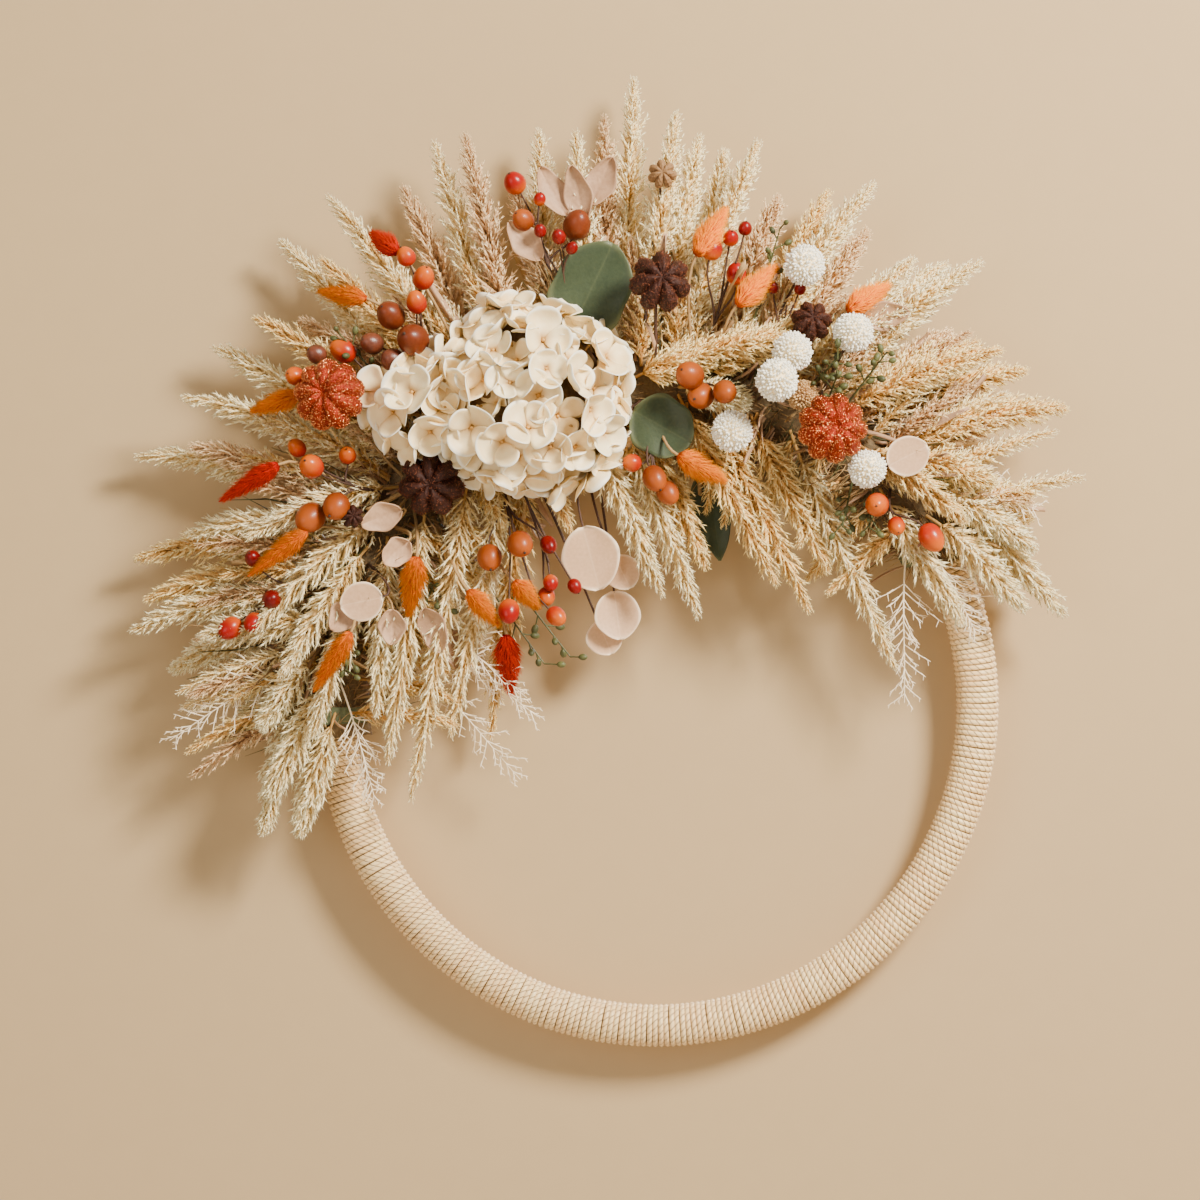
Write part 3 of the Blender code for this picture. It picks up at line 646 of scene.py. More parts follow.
# root degrees, tip degrees, tip out, finish: the same plumes as the frame's, in the same order
REAR_PLUMES = [
    (168, 176, 0.098, C), (154, 164.5, 0.130, G), (146, 154.5, 0.150, C), (138, 141, 0.146, C),
    (128, 129, 0.163, C), (118, 116, 0.150, T), (107, 101.5, 0.156, C), (95, 92, 0.180, C),
    (84, 83, 0.140, C), (74, 71.5, 0.130, G), (64, 56.5, 0.122, C), (52, 42, 0.105, G),
    (41, 26, 0.058, G),
]
MIDDLE_PLUMES = [
    (161, 172, 0.122, C), (150, 160, 0.104, C), (113, 108.5, 0.164, T), (57, 49, 0.090, G),
    (47, 35.8, 0.108, G), (36, 12, 0.056, C), (177.5, 198.5, 0.054, C),
]
# more plumes that fill the swag: root degrees, root around, tip degrees, tip out, tip forward, finish
FILL_PLUMES = [
    (178, 20, 184.5, 0.060, 0.010, C), (172, 60, 183.5, 0.042, 0.040, C), (176, 80, 194, 0.044, 0.040, C),
    (181, 95, 200.5, 0.034, 0.030, C), (166, 66, 171.5, 0.080, 0.044, C), (158, 20, 168.5, 0.118, 0.012, G),
    (147, 30, 151, 0.124, 0.018, T), (140, 44, 147, 0.142, 0.030, C), (132, 36, 136, 0.138, 0.026, G),
    (127, 20, 133, 0.120, 0.010, T), (121, 30, 122.8, 0.166, 0.016, C), (124, 44, 127, 0.138, 0.028, G),
    (115, 20, 111.5, 0.166, 0.012, C), (104, 30, 105.5, 0.126, 0.016, T), (101, 40, 98, 0.150, 0.022, C),
    (98, 16, 95, 0.158, 0.010, T), (92, 40, 88, 0.158, 0.024, C), (89, 20, 85.6, 0.146, 0.012, C),
    (86, 44, 79.8, 0.146, 0.026, C), (79, 30, 76.5, 0.118, 0.020, T), (76, 44, 67.2, 0.142, 0.026, C),
    (70, 24, 66, 0.116, 0.014, T), (66, 44, 60, 0.112, 0.030, C), (62, 46, 53.8, 0.132, 0.032, C),
    (70, 60, 57.5, 0.086, 0.042, C), (56, 30, 51.5, 0.090, 0.016, T), (58, 66, 45.8, 0.100, 0.044, G),
    (48, 20, 38, 0.092, 0.012, G), (46, 60, 33, 0.046, 0.040, G), (40, 60, 22, 0.050, 0.036, C),
    (35, 80, 14, 0.034, 0.034, C), (31, 20, 17, 0.046, 0.010, G), (44, 110, 14, -0.004, 0.036, C),
    (126, 104, 202, -0.034, 0.036, C), (136, 100, 193, -0.028, 0.044, C), (148, 100, 183, -0.026, 0.044, C),
    (121, 130, 190, -0.066, 0.030, C), (118, 150, 193, -0.088, 0.004, G), (104, 120, 86, -0.126, 0.040, C),
    (97, 130, 62.5, -0.133, 0.036, C), (93, 140, 69, -0.105, 0.030, G), (86, 110, 43.5, -0.090, 0.040, G),
    (80, 120, 30, -0.084, 0.036, G), (72, 120, 36.5, -0.062, 0.034, G), (64, 120, 7.5, -0.047, 0.030, C),
    (150, 84, 176, 0.030, 0.056, C), (156, 90, 186, 0.012, 0.052, C), (143, 80, 170, 0.050, 0.052, C),
    (94, 84, 80, 0.018, 0.036, G), (86, 98, 73, -0.006, 0.034, C), (139, 76, 158, 0.070, 0.050, C),
    (83, 84, 66, 0.056, 0.046, G), (90, 80, 70, 0.040, 0.050, G),
    (53, 84, 30, 0.020, 0.048, G), (131, 64, 141, 0.090, 0.036, G),
]
for number, (root, tip, out, finish) in enumerate(REAR_PLUMES, 1):
    name = f"plume_rear_{number:02d}"
    plume(f"grass_rear_{number:02d}", (root, REAR), (tip, out, 0.004), finish, nodes=[name])
for number, (root, tip, out, finish) in enumerate(MIDDLE_PLUMES, 1):
    name = f"plume_middle_{number:02d}"
    plume(f"grass_middle_{number:02d}", (root, MIDDLE), (tip, out, 0.024), finish, nodes=[name])
for number, (root, around, tip, out, forward, finish) in enumerate(FILL_PLUMES, 1):
    plume(f"grass_fill_{number:02d}", (root, around), (tip, out, forward), finish, count=185)
print("plumes:", len(REAR_PLUMES) + len(MIDDLE_PLUMES) + len(FILL_PLUMES))


# %% [markdown]
# Between the long stems a florist packs short pieces: small plumes, dry stalks and papery dry leaves, so that
# neither the base nor the wall shows through. They are spread by chance over the front half of the base, and
# lean out or in as their root does.

# %% Short fillers
def filler_leaf_shape():
    """A narrow dry leaf a unit long along +Z, bowed and folded along its rib."""
    deselect()
    bpy.ops.mesh.primitive_grid_add(x_subdivisions=2, y_subdivisions=7, size=1.0)
    blade = bpy.context.object
    for vertex in blade.data.vertices:
        across, along = vertex.co.x * 2, vertex.co.y + 0.5
        half = 0.040 * math.sin(math.pi * min(1, 0.08 + 0.90 * along)) ** 0.8
        vertex.co = (0.22 * along**2 + 0.05 * abs(across), across * half, along)
    solid = blade.modifiers.new("thin", "SOLIDIFY")
    solid.thickness = 0.008
    bpy.ops.object.modifier_apply(modifier=solid.name)
    return taken(blade, along=lambda p: p[2])


def filler_stalk_shape():
    knots = [(0, 0, 0), (0.02, 0, 0.35), (0.09, 0, 0.7), (0.22, 0, 1)]
    radii = [0.011, 0.010, 0.008, 0.003]
    parts = [cone(a, b, ra, 3, rb) for a, b, ra, rb in zip(knots, knots[1:], radii, radii[1:])]
    return taken(joined(parts), along=lambda p: p[2])


def fan_direction(degrees, around):
    """The way a short piece leaves the base: outward or inward, forward, and a little along the hoop."""
    angle, turn = math.radians(degrees), math.radians(around)
    outward = Vector((math.cos(angle), 0, math.sin(angle)))
    along = Vector((-math.sin(angle), 0, math.cos(angle)))
    side = along * ((degrees - 100) / 80) * (0.75 if around < 90 else -0.15)
    return (outward * math.cos(turn) * 1.3 + FRONT * math.sin(turn) * 0.38 + side).normalized()


# places with no fillers, under the hydrangea and the leaves: degrees, half width, around, half height
CLEAR = [(114, 20, 92, 58), (98, 8, 56, 30), (89, 8, 112, 28)]
FILLER_TRIES = 1500
SHORT_PLUMES = 92


def fillers():
    leaf_shape, stalk_shape = filler_leaf_shape(), filler_stalk_shape()
    leaves, taupes, stalks, greens = [], [], [], []
    for number in range(FILLER_TRIES):
        degrees = chance.uniform(29, 184)
        around = chance.uniform(2, 178)
        if any(abs(degrees - middle) < half and abs(around - height) < room
               for middle, half, height, room in CLEAR):
            continue
        inner = around > 100
        start, _ = root_on_base(degrees, around)
        way = fan_direction(degrees, around) + Vector(chance.normal(0, 0.22, 3))
        way.y = min(way.y, -0.12)
        length = chance.uniform(0.030, 0.055) if inner else chance.uniform(0.040, 0.085)
        length *= 1 - 0.5 * math.sin(math.radians(around))
        length *= 0.62 if degrees < 42 or degrees > 172 else 1
        matrix = facing(start, way.normalized(), chance.random() * math.tau, length)
        (leaves, stalks, stalks, greens, stalks, taupes, stalks, greens)[number % 8].append(matrix)
    piece("short_dry_leaves", [placed(leaf_shape, leaves), placed(leaf_shape, taupes)], [STALK, BLUSH])
    piece("short_stalks", [placed(stalk_shape, stalks), placed(stalk_shape, greens)], [STALK, BUD])


fillers()
for number in range(SHORT_PLUMES):
    degrees = 31 + 152 * (number + 0.5) / SHORT_PLUMES + chance.uniform(-1.2, 1.2)
    inner = number % 4 == 3
    around = chance.uniform(112, 150) if inner else chance.uniform(18, 80)
    swing = (degrees - 100) / 80
    if inner:
        tip, out = degrees + swing * 4, -chance.uniform(0.052, 0.080)
    else:
        tip, out = degrees + swing * chance.uniform(4, 9), chance.uniform(0.058, 0.098)
    finish = (PLUME_CREAM, PLUME_GOLD, PLUME_TAUPE, PLUME_GOLD)[number % 4]
    forward = chance.uniform(0.012, 0.020 if 88 < degrees < 110 else 0.040)
    plume(f"grass_short_{number + 1:02d}", (degrees, around), (tip, out, forward), finish, full=0.0150,
          bare=0.06,
          count=80)


# %% [markdown]
# Under the flowers a mossy base is bound to the hoop. It is a round-fronted bar bent along the hoop,
# roughened by displaced noise and covered with short dry fibres, so that any gap between the flowers shows
# plant matter.

# %% Base of the swag
MOSS = dress("moss_base", (0.040, 0.024, 0.010), (0.24, 0.16, 0.070), 0.85, grain=600, blotch=90, bump=0.8,
             depth=0.001)
MOSS_FIBRES = 2600


def base_point(degrees, around, lift):
    """A point on the base's rounded front at a share around: 0 outer edge, 90 front, 180 inner edge."""
    angle = math.radians(around)
    return at(degrees, (BASE_HALF_W + lift) * math.cos(angle), (BASE_FRONT + lift) * math.sin(angle))


def swag_base():
    low, high = 26.0, 186.0
    deselect()
    bpy.ops.mesh.primitive_circle_add(vertices=28, radius=1.0, fill_type="NGON")
    bar = bpy.context.object
    for vertex in bar.data.vertices:
        x, y = vertex.co.x, vertex.co.y
        depth = y * BASE_FRONT if y > 0 else y * BASE_FRONT * 0.66
        vertex.co = at(low, x * BASE_HALF_W * 0.97, depth * 0.97)
    bpy.ops.object.mode_set(mode="EDIT")
    bpy.ops.mesh.select_all(action="SELECT")
    bpy.ops.mesh.spin(steps=110, angle=math.radians(high - low), center=HOOP, axis=(0, 1, 0))
    bpy.ops.mesh.select_all(action="SELECT")
    bpy.ops.mesh.normals_make_consistent(inside=False)
    bpy.ops.object.mode_set(mode="OBJECT")
    noise = bpy.data.textures.new("moss", "CLOUDS")
    noise.noise_scale = 0.008
    rough = bar.modifiers.new("rough", "DISPLACE")
    rough.texture = noise
    rough.strength = 0.004
    bpy.ops.object.modifier_apply(modifier=rough.name)
    body = taken(bar)
    halves = [cone((0, 0, 0), (0.05, 0, 0.6), 0.05, 3, 0.03), cone((0.05, 0, 0.6), (0.3, 0, 1), 0.03, 3)]
    fibre = taken(joined(halves), along=lambda p: p[2])
    places = []
    for _ in range(MOSS_FIBRES):
        degrees, around = chance.uniform(low + 1, high - 1), chance.uniform(-35, 215)
        root = base_point(degrees, around, -0.0018) if around > -1 else base_point(degrees, around, -0.001)
        angle = math.radians(degrees)
        out = (base_point(degrees, around, 0.002) - base_point(degrees, around, 0)).normalized()
        way = Vector((-math.sin(angle), 0, math.cos(angle))) * chance.choice((-1, 1))
        direction = (way * chance.uniform(0.3, 1.0) + out * chance.uniform(0.15, 0.6)).normalized()
        if root.y > HOOP.y + 0.010:
            continue
        length = chance.uniform(0.006, 0.013)
        places.append(facing(root, direction, chance.random() * math.tau,
                             (length * 0.7, length * 0.7, length)))
    piece("mossy_base", [once(body), placed(fibre, places)], [MOSS, STALK], ["swag_base"])


swag_base()


# %% [markdown]
# The hydrangea is the large pale head. Four broad cupped petals make a floret, each petal pulled from a flat
# grid into a shallow bowl with a turned edge. The florets sit tightly on a dome and on a smaller side lobe,
# each turned and sized by chance, and shade falls deep between them. The petals carry painted shade towards
# their claws, and a dark core under the florets is painted shade that shows in the gaps.

# %% Petals and florets
def petal_half(along, width):
    """Half the width of a petal at a share of its length, narrow at the claw."""
    return 0.53 * width * (0.40 + 0.60 * min(1.0, along / 0.6) ** 0.9)


def petal_shape(cup, curl, twist, ruffle, seed, width=1.0):
    """One rounded cupped petal a unit long, its claw at the origin and its blade towards +X."""
    deselect()
    bpy.ops.mesh.primitive_grid_add(x_subdivisions=8, y_subdivisions=8, size=2.0)
    blade = bpy.context.object
    phase = np.random.default_rng(seed).uniform(0, math.tau)
    for vertex in blade.data.vertices:
        u, v = vertex.co.x, vertex.co.y
        x, y = u * math.sqrt(1 - v * v / 2), v * math.sqrt(1 - u * u / 2)
        reach, turn = math.hypot(x, y), math.atan2(y, x)
        along = (x + 1) / 2
        z = cup * 0.42 * reach**2 * along - curl * 1.6 * max(0, reach - 0.78) ** 2
        z += ruffle * math.sin(3 * turn + phase) * reach**2 + twist * y * along
        vertex.co = (along, y * petal_half(along, width), z)
    solid = blade.modifiers.new("thin", "SOLIDIFY")
    solid.thickness = 0.020
    solid.offset = 0
    bpy.ops.object.modifier_apply(modifier=solid.name)

    def share(p):
        reach = math.hypot(2 * p[0] - 1, p[1] / petal_half(max(0.0, p[0]), width))
        return 0.78 * max(0.0, p[0]) ** 0.8 + 0.30 * max(0.0, reach) ** 5 * min(1.0, max(0.0, p[0]) * 2)

    return taken(blade, along=share)


def floret_shape(seed):
    """Four petals round a small eye, a unit from eye to tip, opening along +Z."""
    pick = np.random.default_rng(seed)
    parts = []
    for k in range(4):
        petal = petal_shape(pick.uniform(0.5, 1.1), pick.uniform(0.3, 1.0), pick.uniform(-0.10, 0.10),
                            pick.uniform(0.02, 0.06), int(pick.integers(1000)), pick.uniform(0.95, 1.15))
        turn = Matrix.Rotation(math.tau * k / 4 + pick.normal(0, 0.12), 4, "Z")
        tip_up = Matrix.Rotation(-pick.uniform(0.05, 0.42), 4, "Y")
        size = Matrix.Diagonal((pick.uniform(0.85, 1.10),) * 3).to_4x4()
        lift = Matrix.Translation((0, 0, 0.05 * (k % 2)))
        matrix = np.array(turn @ lift @ tip_up @ size)
        copy = Shape(petal.points @ matrix[:3, :3].T + matrix[:3, 3], petal.faces, petal.along)
        parts.append(copy)
    deselect()
    bpy.ops.mesh.primitive_ico_sphere_add(subdivisions=1, radius=0.08, location=(0, 0, 0.07))
    parts.append(taken(bpy.context.object))
    return merged(parts)


FLORETS = [floret_shape(seed) for seed in (11, 12, 13, 14, 15)]
# a dark core inside the hydrangea head: painted shade that shows between the florets
PAINTED_SHADE_CORE = dress("hydrangea_painted_shade", (0.10, 0.055, 0.022), (0.34, 0.22, 0.10), 0.9, grain=500, blotch=160, bump=0.8)
print("floret triangles:", len(FLORETS[0].faces))


def golden_dome(count, reach):
    """Directions spread evenly over a cap facing the front."""
    found = []
    for k in range(count):
        height = 1 - (1 - math.cos(reach)) * (k + 0.5) / count
        across = math.sqrt(max(0.0, 1 - height * height))
        turn = GOLDEN_TURN * k
        found.append(Vector((across * math.cos(turn), -height, across * math.sin(turn))))
    return found


def hydrangea():
    middle = at(113.0, 0.004, BASE_FRONT + 0.020)
    spread, depth = 0.0575, 0.050
    places = [[] for _ in FLORETS]
    heads = [(middle, spread, depth, 66, 1.75), (at(127.5, 0.028, 0.036), 0.033, 0.036, 20, 1.65)]
    number = 0
    for place, wide, deep, count, reach in heads:
        for way in golden_dome(count, reach):
            jitter = Vector(chance.normal(0, 0.14, 3))
            straight = Vector((way.x / wide, way.y / deep, way.z / wide)).normalized()
            normal = (straight + jitter * 1.6).normalized()
            inset = chance.uniform(0.82, 1.04)
            root = place + Vector((way.x * wide, way.y * deep, way.z * wide)) * inset - normal * 0.003
            size = chance.uniform(0.0138, 0.0172)
            places[number % len(FLORETS)].append(facing(root, normal, chance.random() * math.tau, size))
            number += 1
    groups = [placed(shape, some) for shape, some in zip(FLORETS, places)]
    piece("hydrangea_florets", groups, [PETAL] * len(groups), ["hydrangea_head"])
    stalks, stop = [], middle - FRONT * 0.026
    for place, wide, deep, count, reach in heads:
        for way in golden_dome(count // 2, reach):
            end = place + Vector((way.x * wide, way.y * deep, way.z * wide)) * 0.9
            stalks.append(([stop, stop.lerp(end, 0.55) - UP * 0.003, end], [0.0012, 0.0009, 0.0007]))
    # the dark core is painted shade in the gaps between the florets
    deselect()
    bpy.ops.mesh.primitive_uv_sphere_add(segments=32, ring_count=20, radius=1)
    core = bpy.context.object
    core.scale = (spread * 0.80, depth * 0.74, spread * 0.80)
    core.location = middle
    piece("hydrangea_heart", [once(taken(core), 0.2), once(wires(stalks), 0.7)], [PAINTED_SHADE_CORE, STALK])


hydrangea()


# %% [markdown]
# A glitter pumpkin is a ribbed oblate ball with a short stalk. The ribs come from pulling the points of a
# ball in along the creases. Small bright grains are scattered over it and catch the light one by one. A pod
# is a ribbed ball too, and short curled fibres make its ridges rough.

# %% Pumpkins and pods
GLITTER_GRAINS = 2600


def ribbed_shape(ribs, groove, squash, dimple, segments, rings, sharp):
    """A ribbed ball of radius one, its crown along +Z."""
    deselect()
    bpy.ops.mesh.primitive_uv_sphere_add(segments=segments, ring_count=rings, radius=1)
    ball = bpy.context.object
    for vertex in ball.data.vertices:
        p = vertex.co
        turn = math.atan2(p.y, p.x)
        across = math.hypot(p.x, p.y)
        rib = abs(math.cos(turn * ribs / 2)) ** sharp
        reach = 1 - groove * (1 - rib) * min(1.0, across * 1.6)
        pole = dimple * max(0.0, 1 - across / 0.55) ** 2
        vertex.co = (p.x * reach, p.y * reach, (p.z * squash) * reach - math.copysign(pole, p.z))
    return taken(ball)


def on_surface(shape, count, lift=0.0):
    """Random points on the shape's triangles with their outward direction."""
    corners = shape.points[shape.faces]
    cross = np.cross(corners[:, 1] - corners[:, 0], corners[:, 2] - corners[:, 0])
    area = np.linalg.norm(cross, axis=1)
    which = chance.choice(len(area), count, p=area / area.sum())
    a, b = chance.random(count), chance.random(count)
    over = a + b > 1
    a[over], b[over] = 1 - a[over], 1 - b[over]
    corner = corners[which]
    sides = corner[:, 1:] - corner[:, :1]
    points = corner[:, 0] + a[:, None] * sides[:, 0] + b[:, None] * sides[:, 1]
    ways = cross[which] / area[which][:, None]
    return points + ways * lift, ways


def within(group, matrix):
    """A group of copies moved by one more placement."""
    matrix = np.asarray(matrix)
    return (group[0] @ matrix[:3, :3].T + matrix[:3, 3], *group[1:])


def axis_of(lean):
    return Vector((lean[0], -1, lean[1])).normalized()


def stem_line(root, place, axis, neck_back):
    """The wire from the base to the back of a head."""
    start, leave = root_on_base(*root)
    neck = place - axis * neck_back
    return bend(start, leave, neck, axis, 9)


def glitter_pumpkin(name, spot, radius, root, squash, lean):
    place, axis = at(*spot), axis_of(lean)
    body = ribbed_shape(9, 0.24, 0.84, 0.30, 90, 44, 0.50)
    matrix = facing(place, axis, chance.random(), radius)
    deselect()
    bpy.ops.mesh.primitive_cube_add(size=1)
    grain = taken(bpy.context.object)
    points, ways = on_surface(body, GLITTER_GRAINS, 0.004)
    grains = []
    for point, way in zip(points, ways):
        jitter = Vector(way) + Vector(chance.normal(0, 0.7, 3))
        size = chance.uniform(0.022, 0.050)
        grains.append(facing(Vector(point), jitter, chance.random() * 6, (size, size, size * 0.5)))
    specks = within(placed(grain, grains), matrix)
    line = stem_line(root, place, axis, radius * squash * 0.8)
    wire = once(wires([(line, [0.0012] * len(line))]))
    piece(name + "_dressed", [within(once(body), matrix), specks, wire], [COPPER, SPARK, TWIG],
          [name])


glitter_pumpkin("glitter_pumpkin_left", (136.5, 0.071, 0.060), 0.0205, (133, 72), 0.8, (-0.25, 0.1))
glitter_pumpkin("glitter_pumpkin_right", (57.8, 0.0005, 0.062), 0.0200, (57.8, 90), 0.8, (0.15, 0.05))


def brown_pod(name, spot, radius, root, lean, finish=POD, ridge=POD_RIDGE, fibres=2400, in_frame=True):
    place, axis = at(*spot), axis_of(lean)
    body = ribbed_shape(7, 0.40, 0.86, 0.24, 84, 36, 0.50)
    rough = np.array([1 + 0.050 * math.sin(p[0] * 19 + p[2] * 13) * math.sin(p[1] * 17 - p[0] * 9)
                      for p in body.points])
    body.points *= rough[:, None]
    matrix = facing(place, axis, chance.random(), radius)
    halves = [cone((0, 0, 0), (0.25, 0, 0.45), 0.16, 3, 0.12), cone((0.25, 0, 0.45), (0.8, 0, 0.55), 0.12, 3)]
    curl = taken(joined(halves), along=lambda p: p[0])
    points, ways = on_surface(body, fibres, -0.02)
    hairs = []
    for point, way in zip(points, ways):
        size = chance.uniform(0.055, 0.115)
        hairs.append(facing(Vector(point), Vector(way) + Vector(chance.normal(0, 0.25, 3)),
                            chance.random() * math.tau, size))
    line = stem_line(root, place, axis, radius * 0.7)
    wire = once(wires([(line, [0.0010] * len(line))]))
    piece(name + "_dressed", [within(once(body, 0.35), matrix), within(placed(curl, hairs), matrix), wire],
          [finish, ridge, TWIG], [name] if in_frame else ())


brown_pod("brown_pod_top", (89.6, 0.055, 0.060), 0.0175, (90, 78), (0.1, 0.2))
brown_pod("brown_pod_right", (68.1, 0.050, 0.050), 0.0118, (68.5, 62), (0.1, 0.3))
brown_pod("brown_pod_left", (135.3, -0.0055, 0.047), 0.0190, (136, 96), (-0.1, -0.1))
brown_pod("tan_pod", (89.4, 0.118, 0.040), 0.0085, (92, 44), (0.0, 0.2), BALL_TAN, BALL_TAN, 300,
          in_frame=False)


# %% [markdown]
# The ball flowers are dense round heads of small pale florets. Each is a core with some hundreds of short
# clubbed spikes set evenly over it, so its outline is soft and its face is dotted.

# %% Ball flowers
def club_shape():
    """A short spike that ends in a club, a unit from the middle of the ball to its own top."""
    parts = [cone((0, 0, 0.55), (0, 0, 0.93), 0.035, 5, 0.083),
             cone((0, 0, 0.93), (0, 0, 1.03), 0.083, 5, 0.03)]
    return taken(joined(parts), along=lambda p: (p[2] - 0.75) / 0.28)


CLUB = club_shape()
BALL_SPIKES = 330


def even_ball(count):
    found = []
    for k in range(count):
        height = 1 - 2 * (k + 0.5) / count
        across = math.sqrt(1 - height * height)
        found.append(Vector((across * math.cos(GOLDEN_TURN * k), across * math.sin(GOLDEN_TURN * k), height)))
    return found


def ball_flower(name, spot, radius, root, finish):
    place = at(*spot)
    deselect()
    bpy.ops.mesh.primitive_ico_sphere_add(subdivisions=3, radius=0.84)
    core = taken(bpy.context.object)
    spikes = []
    for way in even_ball(BALL_SPIKES):
        length = chance.uniform(0.93, 1.06)
        spikes.append(facing(Vector((0, 0, 0)), way + Vector(chance.normal(0, 0.035, 3)), 0, length))
    matrix = facing(place, FRONT, chance.random() * 6, radius)
    line = stem_line(root, place, FRONT, radius * 0.7)
    wire = once(wires([(line, [0.0009] * len(line))]))
    piece(name + "_dressed", [within(once(core, 0.1), matrix), within(placed(CLUB, spikes), matrix), wire],
          [finish, finish, TWIG], [name])


WHITE_BALLS = [
    ("ball_flower_top", (71.5, 0.079, 0.052), 0.0116, (74, 66)),
    ("ball_flower_outer", (62.3, 0.054, 0.058), 0.0112, (62, 70)),
    ("ball_flower_upper", (69.1, 0.0295, 0.062), 0.0112, (69, 80)),
    ("ball_flower_middle", (69.9, 0.0104, 0.078), 0.0120, (71.5, 92)),
    ("ball_flower_inner", (74.7, -0.0243, 0.055), 0.0116, (75.5, 112)),
    ("ball_flower_right", (48.4, -0.0059, 0.055), 0.0107, (47.5, 96)),
]
for name, spot, radius, root in WHITE_BALLS:
    ball_flower(name, spot, radius, root, BALL_WHITE)
ball_flower("ball_flower_tan", (64.8, 0.0095, 0.046), 0.0088, (64.8, 84), BALL_TAN)


# %% [markdown]
# Bunny-tail grass has a soft egg-shaped head, dyed orange or red. A solid middle keeps the wall from showing
# through, and fine hairs leave it and lean towards the tip, each one a flat-sided sliver.

# %% Tail grasses
HAIR = taken(cone((0, 0, 0), (0.14, 0, 1), 0.036, 3), along=lambda p: p[2])
# the solid middle of a tail: share of the length and share of the radius
TAIL_CORE = [(0.0, 0.22), (0.12, 0.52), (0.35, 0.58), (0.68, 0.34), (0.94, 0.05)]


def tail(name, root, foot, tip, finish, nodes=(), radius=0.0078, hairs=2000):
    start, leave = root_on_base(*root)
    foot, tip = at(*foot), at(*tip)
    way = (tip - foot).normalized()
    leave = (leave * 0.4 + (foot - start).normalized()).normalized()
    line = bend(start, leave, foot, way, 9, 0.25)
    stem = once(wires([(line, [0.0009] * 9)]), 0.5)
    core = wires([([foot.lerp(tip, share) for share, _ in TAIL_CORE],
                   [radius * wide for _, wide in TAIL_CORE])], 3)
    core.along[:] = 0.1
    places = []
    for k in range(hairs):
        share = (k + 0.5) / hairs
        place = foot.lerp(tip, share * 0.84)
        swell = (1 - share**2.0) * min(1.0, 0.40 + share * 3.0)
        side = way.orthogonal().normalized()
        side.rotate(Matrix.Rotation(GOLDEN_TURN * k, 3, way))
        lean = math.radians(38 - 22 * share + chance.normal(0, 6))
        direction = way * math.cos(lean) + side * math.sin(lean)
        length = radius * (0.70 + 0.42 * swell) * chance.uniform(0.7, 1.2)
        start = place + side * radius * 0.52 * swell
        places.append(facing(start, direction, chance.random() * math.tau, length))
    piece(name, [stem, once(core, 0.3), placed(HAIR, places)], [STALK, finish, finish], nodes)


O, R = TAIL_ORANGE, TAIL_RED
TAILS = [
    ("bunny_tail_top", (84, 60), (85, 0.072, 0.042), (81.9, 0.103, 0.044), O),
    ("bunny_tail_upper", (80, 66), (78.7, 0.047, 0.045), (74.6, 0.076, 0.047), O),
    ("bunny_tail_right", (60.5, 52), (64.2, 0.064, 0.041), (61.0, 0.090, 0.042), O),
    ("bunny_tail_inner", (90, 142), (85.2, -0.043, 0.047), (72.0, -0.053, 0.049), O),
    ("bunny_tail_left", (141, 108), (148.2, -0.025, 0.046), (161.0, -0.036, 0.044), O),
    ("bunny_tail_low", (138, 160), (155.0, -0.091, 0.016), (177.6, -0.103, 0.016), R),
]
for name, root, foot, tip, finish in TAILS:
    tail(name + "_dressed", root, foot, tip, finish, [name])
MORE_TAILS = [
    ((160, 84), (166.5, -0.007, 0.055), (178.4, 0.011, 0.055), O),
    ((145, 60), (147.5, 0.070, 0.050), (155.5, 0.091, 0.052), R),
    ((150, 66), (153.5, 0.037, 0.052), (163.0, 0.060, 0.054), O),
    ((138, 60), (139.0, 0.085, 0.044), (144.5, 0.102, 0.044), O),
    ((120, 50), (119.8, 0.112, 0.040), (121.2, 0.131, 0.040), R),
    ((128, 30), (125.5, 0.100, 0.040), (129.5, 0.122, 0.040), O),
    ((140, 150), (148.6, -0.060, 0.046), (153.6, -0.087, 0.044), O),
    ((136, 150), (139.0, -0.078, 0.036), (140.5, -0.100, 0.034), O),
]
for number, (root, foot, tip, finish) in enumerate(MORE_TAILS, 1):
    tail(f"small_tail_{number}", root, foot, tip, finish, radius=0.0066, hairs=1600)


# %% [markdown]
# Berries sit on dark wiry twigs in loose sprays. Each berry is a slightly long ball with a dark star at its
# bloom end, and its colour changes from the stalk to that end.

# %% Berry sprays
def berry_shape():
    deselect()
    bpy.ops.mesh.primitive_uv_sphere_add(segments=24, ring_count=16, radius=1)
    ball = bpy.context.object
    for vertex in ball.data.vertices:
        p = vertex.co
        taper = 1 - 0.10 * p.z
        vertex.co = (p.x * taper, p.y * taper, p.z * 1.12)
    return taken(ball, along=lambda p: (p[2] + 1.12) / 2.24)


def dot_shape():
    parts = []
    for k in range(5):
        way = Vector((math.cos(math.tau * k / 5), math.sin(math.tau * k / 5), 0))
        parts.append(cone((0, 0, 1.10), Vector((0, 0, 1.16)) + way * 0.15, 0.045, 4))
    deselect()
    bpy.ops.mesh.primitive_uv_sphere_add(segments=12, ring_count=8, radius=0.10, location=(0, 0, 1.09))
    parts.append(bpy.context.object)
    return taken(joined(parts))


BERRY_SHAPE, DOT_SHAPE = berry_shape(), dot_shape()


def berry_group(heads):
    """Berries given as (place, radius, direction), and the dots on their bloom ends, as two groups."""
    placements = []
    for place, radius, way in heads:
        roll, stretch = chance.random() * math.tau, chance.uniform(0.96, 1.16)
        placements.append(facing(place, way, roll, (radius, radius, radius * stretch)))
    return placed(BERRY_SHAPE, placements), placed(DOT_SHAPE, placements)


